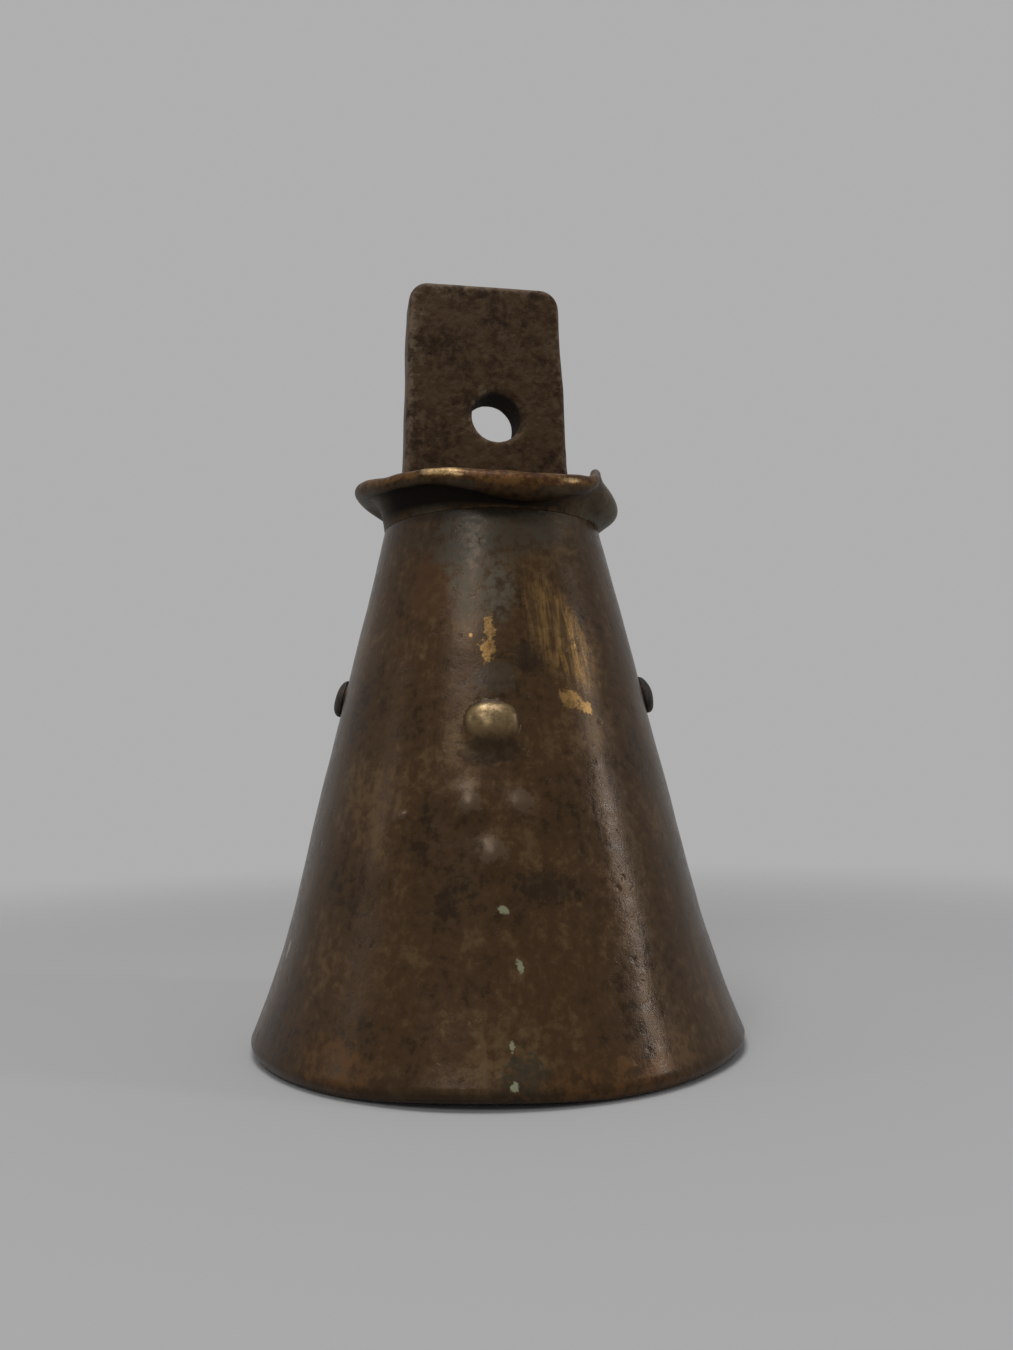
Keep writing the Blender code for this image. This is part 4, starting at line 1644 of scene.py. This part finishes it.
    def edge_share(self, point: Vector) -> float:
        """1 at the bar's outline or at the hole's edge, 0 further in.

        Args:
            point: Place on the piece, in metres.

        Returns:
            The share, from 0 to 1.
        """
        side = self.half_width(point.z) - abs(point.x)
        top = self.seat + self.height - point.z
        hole = self.from_hole(point) - self.hole_diameter / 2
        near = max(0.0, min(side, top, 2 * hole))
        reach = self.edge_reach if point.x > 0 else self.left_edge_reach
        return max(0.0, 1 - near / reach)

    def ream(self, piece: bpy.types.Object) -> None:
        """Press the points of the hole's wall onto one smooth cylinder, and mark them for the painted shade
        of the finish.

        Args:
            piece: Object to work on.
        """
        marks = piece.data.attributes.new("bore", "FLOAT", "POINT")
        lie = Matrix.Rotation(radians(self.hole_skew_deg), 3, "Z")
        middle = Vector((self.hole_offset, 0, self.seat + self.hole_rise))
        radius = self.hole_diameter / 2
        deep = self.thickness / 2 - 2 * self.hole_chamfer
        for vert in piece.data.vertices:
            local = lie.transposed() @ (vert.co - middle)
            away = hypot(local.x, local.z)
            if away < radius + 2 * self.hole_chamfer and abs(local.y) < deep + self.hole_chamfer:
                marks.data[vert.index].value = 1.0 if abs(local.y) < deep else self.hole_edge_shade
            if abs(local.y) < deep and away < radius + self.grain:
                local.x *= radius / away
                local.z *= radius / away
                vert.co = middle + lie @ local

    def rework(self, piece: bpy.types.Object) -> None:
        """Taper the bar, work its outline and skin uneven, and mark its edges for the finish.

        Args:
            piece: Object to work on.
        """
        marks = piece.data.attributes.new("edge", "FLOAT", "POINT")
        for vert in piece.data.vertices:
            point = vert.co.copy()
            if point.z < self.seat + CLEARANCE / 2:
                continue
            free = clamp(self.from_hole(point) / self.hole_diameter - 0.5)
            widen = 1 + free * (self.half_width(point.z) / (self.top_width / 2) - 1)
            marks.data[vert.index].value = self.edge_share(Vector((point.x * widen, point.y, point.z)))
            skin = self.skin_depth * unevenness(point, self.skin_wave)
            skin += self.wobble_depth / 2 * unevenness(point, self.wobble_wave)
            shift = self.right_shift if point.x > 0 else 0.0
            side = self.wobble_depth * unevenness(Vector((shift, 0, point.z)), self.wobble_wave)
            outer = (abs(point.x) / (self.top_width / 2)) ** self.wobble_power
            vert.co.x = point.x * widen + (side * outer if point.x > 0 else -side * outer) * free
            vert.co.y = point.y + (skin if point.y > 0 else -skin) * free

    def build(self, finish: bpy.types.Material) -> None:
        """Model the tang and hand it over.

        Args:
            finish: Material of the piece.
        """
        piece = self.bar()
        even_out(piece, self.grain, self.smoothing)
        self.ream(piece)
        self.rework(piece)
        self.put_in_line(piece)
        hand_over(piece, finish, "hanger_tang", Body.BELL, Slot.TANG)

    def build_washer(self, finish: bpy.types.Material) -> None:
        """Model the slotted washer under the crown and hand it over.

        Args:
            finish: Material of the piece.
        """
        radius = hypot(self.tenon_width, self.tenon_thickness) / 2 + self.washer_margin
        soft = self.washer_thickness / 4
        bottom = self.washer_top - self.washer_thickness
        inner = [share * (radius - soft) for share in self.washer_shares]
        upper = [(reach, self.washer_top) for reach in inner]
        edge = arc((radius - soft, self.washer_top - soft), soft, 90, 0, self.washer_edge_rows)
        edge += arc((radius - soft, bottom + soft), soft, 0, -90, self.washer_edge_rows)
        rows = upper + edge + [(reach, bottom) for reach in reversed(inner)]
        piece = draw_rings("slotted_washer", self.washer_steps, lambda angle: rows)
        self.put_in_line(piece)
        combine(piece, self.slot_tool(bottom, 4 * self.washer_thickness), "DIFFERENCE")
        hand_over(piece, finish, "tang_washer", Body.BELL, Slot.COLLAR)

    def build_key(self, finish: bpy.types.Material) -> None:
        """Model the tapered key through the tenon and hand it over.

        Args:
            finish: Material of the piece.
        """
        length = self.tenon_thickness + 2 * self.key_past_tenon
        middle = self.key_top - self.key_height / 2
        piece = box("wedge_key", Vector((self.key_width, length, self.key_height)), Vector((0, 0, middle)))
        for vert in piece.data.vertices:
            if vert.co.y > 0 and vert.co.z < middle:
                vert.co.z += self.key_taper
        bevel_edges(piece, self.key_edge_round, self.edge_segments, lambda start, end: True)
        self.put_in_line(piece)
        hand_over(piece, finish, "tang_key", Body.BELL, Slot.IRON)


@dataclass
class Pin:
    """Iron pin across the shell, peened over at both ends, that carries the clapper."""

    level: float = 0.0444
    diameter: float = 0.0045
    waist_diameter: float = 0.0038
    waist_length: float = 0.0033
    head_diameter: float = 0.0049
    head_proud: float = 0.0012
    hammer_wave: float = 0.0021
    hammer_depth: float = 0.00012
    dome_power: float = 0.85
    dome_rows: int = 14
    stem_rows: int = 6
    steps: int = 72

    def bore_tool(self, shell: Shell) -> bpy.types.Object:
        """Round bar that cuts both pin holes through the wall.

        Args:
            shell: Shell to be drilled.

        Returns:
            The bar.
        """
        reach = shell.outer_radius(self.level) + 2 * self.head_proud
        radius = self.diameter / 2 + CLEARANCE
        rows = [(0, reach), (radius, reach), (radius, -reach), (0, -reach)]
        piece = draw_rings("pin_bore", self.steps, lambda angle: rows)
        self.lay_across(piece)
        return piece

    def lay_across(self, piece: bpy.types.Object) -> None:
        """Turn a piece drawn along Z to lie across the bell at the pin's level.

        Args:
            piece: Object to work on.
        """
        piece.rotation_euler = (0, pi / 2, 0)
        piece.location = (0, 0, self.level)
        settle(piece)

    def profile(self, seat: float) -> list[Point]:
        """Profile of one half, from the head's middle to the waist, as (radius, distance from the middle).

        Args:
            seat: Distance of the head's seat from the middle.

        Returns:
            The points.
        """
        wide = self.head_diameter / 2
        tall = self.head_proud
        dome = []
        for turn in walk(pi / 2, 0.0, self.dome_rows):
            dome.append((wide * cos(turn), seat + tall * sin(turn) ** self.dome_power))
        dome[0] = (0.0, seat + tall)
        shank = self.diameter / 2
        half = self.waist_length / 2
        slope = half + abs(self.diameter - self.waist_diameter) / 2
        under = [(wide, seat), ((wide + shank) / 2, seat), (shank, seat)]
        stem = [(shank, x) for x in walk(seat - tall, slope, self.stem_rows)]
        return dome + under + stem + [(shank, slope), (self.waist_diameter / 2, half)]

    def build(self, finish: bpy.types.Material, shell: Shell) -> None:
        """Model the pin, bed its heads on the sloping wall, and hand it over.

        Args:
            finish: Material of the piece.
            shell: Shell that the heads lie on.
        """
        seat = shell.outer_radius(self.level) + CLEARANCE
        half = self.profile(seat)
        rows = half + [(radius, -reach) for radius, reach in reversed(half)]
        piece = draw_rings("peened_pin", self.steps, lambda angle: rows)
        self.lay_across(piece)
        inner = seat - self.head_proud / 2
        for vert in piece.data.vertices:
            point = vert.co.copy()
            if abs(point.x) < inner:
                continue
            side = 1 if point.x > 0 else -1
            lean = shell.slope * (self.level - point.z) - point.y ** 2 / (2 * seat)
            hammered = self.hammer_depth * unevenness(point, self.hammer_wave)
            vert.co.x = point.x + side * (lean + hammered)
        hand_over(piece, finish, "clapper_pin", Body.BELL, Slot.IRON)


@dataclass
class Clapper:
    """Forged clapper: an eye on the pin, a shank, and a ball held by the shank's peened tip."""

    pin_level: float = 0.0444
    eye_ring_radius: float = 0.00345
    eye_bar: float = 0.0025
    shank_diameter: float = 0.0036
    tip_diameter: float = 0.0026
    ball_diameter: float = 0.0150
    ball_level: float = 0.0128
    ball_flat_diameter: float = 0.0056
    peen_diameter: float = 0.0046
    peen_thickness: float = 0.0012
    forge_wave: float = 0.0030
    forge_depth: float = 0.00007
    dent_wave: float = 0.0048
    dent_depth: float = 0.00022
    dent_bias: float = 0.1
    grain: float = 0.00020
    smoothing: int = 5
    steps: int = 72
    eye_bar_steps: int = 24
    peen_rows: int = 4
    ball_rows: int = 40

    @property
    def flat_drop(self) -> float:
        """Distance from the ball's middle to its flats."""
        return sqrt(self.ball_diameter ** 2 - self.ball_flat_diameter ** 2) / 2

    def shank_profile(self) -> list[Point]:
        """Profile of the shank from the eye down to its peened tip.

        Returns:
            Points as (radius, level).
        """
        full = self.shank_diameter / 2
        tip = self.tip_diameter / 2
        peen = self.peen_diameter / 2
        start = self.pin_level - self.eye_ring_radius
        shoulder = self.ball_level + self.flat_drop + CLEARANCE
        peen_top = self.ball_level - self.flat_drop - CLEARANCE
        bottom = peen_top - self.peen_thickness
        soft = self.peen_thickness / 2
        rounded = arc((peen - soft, bottom + soft), soft, 0, -90, self.peen_rows)
        neck = [(0, start), (full, start), (full, shoulder)]
        neck += [(tip, shoulder), (tip, peen_top), (peen, peen_top)]
        return neck + rounded + [(0, bottom)]

    def build_rod(self, finish: bpy.types.Material) -> None:
        """Model the eye and the shank as one forging and hand it over.

        Args:
            finish: Material of the piece.
        """
        deselect_all()
        bpy.ops.mesh.primitive_torus_add(
            major_radius=self.eye_ring_radius, minor_radius=self.eye_bar / 2, major_segments=self.steps,
            minor_segments=self.eye_bar_steps, rotation=(0, pi / 2, 0), location=(0, 0, self.pin_level),
        )
        piece = name_new("clapper_shank")
        settle(piece)
        rows = self.shank_profile()
        combine(piece, draw_rings("shank", self.steps, lambda angle: rows), "UNION")
        even_out(piece, self.grain, self.smoothing)
        top = self.pin_level - self.eye_ring_radius - self.eye_bar / 2
        bottom = self.ball_level + self.ball_diameter / 2
        for vert in piece.data.vertices:
            if bottom < vert.co.z < top:
                push = 1 + self.forge_depth / self.shank_diameter * 2 * unevenness(vert.co, self.forge_wave)
                vert.co.x *= push
                vert.co.y *= push
        hand_over(piece, finish, "clapper_rod", Body.CLAPPER, Slot.IRON)

    def build_ball(self, finish: bpy.types.Material) -> None:
        """Model the ball, dented by use, and hand it over.

        Args:
            finish: Material of the piece.
        """
        radius = self.ball_diameter / 2
        edge = 90 - degrees(atan(self.ball_flat_diameter / 2 / self.flat_drop))
        outside = arc((0, self.ball_level), radius, edge, -edge, self.ball_rows)
        bore = self.tip_diameter / 2 + CLEARANCE
        loop = outside + [(bore, outside[-1][1]), (bore, outside[0][1])]
        rows = loop + loop[:1]
        piece = draw_rings("clapper_knob", self.steps, lambda angle: rows)
        middle = Vector((0, 0, self.ball_level))
        for vert in piece.data.vertices:
            if hypot(vert.co.x, vert.co.y) > self.ball_flat_diameter / 2:
                dent = min(0.0, self.dent_depth * (unevenness(vert.co, self.dent_wave) - self.dent_bias))
                vert.co = middle + (vert.co - middle) * (1 + dent / radius)
        hand_over(piece, finish, "clapper_ball", Body.CLAPPER, Slot.IRON)


# Studio

@dataclass
class Lamp:
    """A soft area lamp that faces a point on the bell."""

    name: str
    place: tuple[float, float, float]
    size: tuple[float, float]
    power: float
    aim: tuple[float, float, float] = (0.0, 0.0, 0.045)

    def hang(self) -> None:
        """Add the lamp to the scene."""
        light = bpy.data.lights.new(self.name, "AREA")
        light.shape = "RECTANGLE"
        light.size, light.size_y = self.size
        light.energy = self.power
        lamp = bpy.data.objects.new(self.name, light)
        lamp.location = self.place
        lamp.rotation_euler = (Vector(self.aim) - Vector(self.place)).to_track_quat("-Z", "Y").to_euler()
        bpy.context.scene.collection.objects.link(lamp)


@dataclass
class Studio:
    """Pale floor, soft lamps, plain world and the camera at the photo's viewing angle."""

    floor_radius: float = 0.60
    floor_drop: float = 0.00005
    floor_fade_from: float = 0.10
    floor_fade_to: float = 0.28
    floor_steps: int = 96
    floor_rough: float = 0.9
    floor_gloss: float = 0.1
    floor_colour: Colour = (0.395, 0.39, 0.386)
    world_colour: Colour = (0.95, 0.97, 1.0)
    world_strength: float = 0.40
    backdrop_colour: Colour = (0.43, 0.43, 0.43)
    camera_place: tuple[float, float, float] = (0.001764, -0.136989, 0.033481)
    camera_right: tuple[float, float, float] = (0.99989212, 0.00148098, -0.01461319)
    camera_up: tuple[float, float, float] = (0.01468804, -0.10081777, 0.99479648)
    lens: float = 27.04
    clip_start: float = 0.005
    lamps: list[Lamp] = field(default_factory=lambda: [
        Lamp("crown_lamp", (-0.05, -0.12, 0.62), (0.26, 0.20), 1.8),
        Lamp("front_lamp", (-0.175, -0.432, 0.43), (0.18, 0.14), 0.66),
        Lamp("right_strip", (0.486, -0.118, 0.205), (0.03, 0.19), 0.37),
        Lamp("left_strip", (-0.478, -0.146, 0.19), (0.05, 0.12), 0.08),
    ])

    def set_floor(self) -> None:
        """Lay a round floor that fades into the backdrop."""
        deselect_all()
        bpy.ops.mesh.primitive_circle_add(
            vertices=self.floor_steps, radius=self.floor_radius, fill_type="NGON",
            location=(0, 0, -self.floor_drop),
        )
        floor = name_new("studio_floor")
        settle(floor)
        brew = Brew("studio_floor")
        brew.shader.inputs["Base Color"].default_value = (*self.floor_colour, 1.0)
        brew.shader.inputs["Roughness"].default_value = self.floor_rough
        brew.shader.inputs["Specular IOR Level"].default_value = self.floor_gloss
        start, end = self.floor_fade_from * MILLIMETRE, self.floor_fade_to * MILLIMETRE
        brew.feed(brew.shader.inputs["Alpha"], brew.range(brew.length(brew.place), end, start))
        floor.data.materials.append(brew.material)

    def set_world(self) -> None:
        """Light the scene evenly, and show camera, glossy and transmission rays a plain pale backdrop."""
        world = bpy.data.worlds.new("studio")
        bpy.context.scene.world = world
        world.use_nodes = True
        nodes, links = world.node_tree.nodes, world.node_tree.links
        light = nodes["Background"]
        light.inputs["Color"].default_value = (*self.world_colour, 1.0)
        light.inputs["Strength"].default_value = self.world_strength
        backdrop = nodes.new("ShaderNodeBackground")
        backdrop.inputs["Color"].default_value = (*self.backdrop_colour, 1.0)
        path = nodes.new("ShaderNodeLightPath")
        seen = path.outputs["Is Camera Ray"]
        for kind in ("Is Glossy Ray", "Is Transmission Ray"):
            either = nodes.new("ShaderNodeMath")
            either.operation = "MAXIMUM"
            links.new(seen, either.inputs[0])
            links.new(path.outputs[kind], either.inputs[1])
            seen = either.outputs[0]
        mix = nodes.new("ShaderNodeMixShader")
        links.new(seen, mix.inputs[0])
        links.new(light.outputs[0], mix.inputs[1])
        links.new(backdrop.outputs[0], mix.inputs[2])
        links.new(mix.outputs[0], nodes["World Output"].inputs["Surface"])

    def set_camera(self) -> None:
        """Stand the camera where the photo was taken."""
        right = Vector(self.camera_right)
        up = Vector(self.camera_up)
        back = right.cross(up)
        data = bpy.data.cameras.new("photo_camera")
        data.lens = self.lens
        data.clip_start = self.clip_start
        camera = bpy.data.objects.new("photo_camera", data)
        turn = Matrix((right, up, back)).transposed()
        camera.matrix_world = Matrix.Translation(Vector(self.camera_place)) @ turn.to_4x4()
        bpy.context.scene.collection.objects.link(camera)
        bpy.context.scene.camera = camera

    def build(self) -> None:
        """Set the whole studio."""
        bpy.context.scene.view_settings.view_transform = "Standard"
        self.set_floor()
        self.set_world()
        self.set_camera()
        for lamp in self.lamps:
            lamp.hang()


def main() -> None:
    """Load the frame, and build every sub-assembly and the studio."""
    logging.basicConfig(level=logging.INFO)
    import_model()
    shell, collar, tang, pin, clapper = Shell(), Collar(), Tang(), Pin(), Clapper()
    iron = BlackIron().material()
    brass = CollarBrass().material()
    shell.build(ShellPatina().material(), tang, pin)
    collar.build(brass, tang)
    tang.build(TangBronze().material())
    tang.build_washer(brass)
    tang.build_key(iron)
    pin.build(iron, shell)
    clapper.build_rod(iron)
    clapper.build_ball(iron)
    Studio().build()


if __name__ == "__main__":
    main()
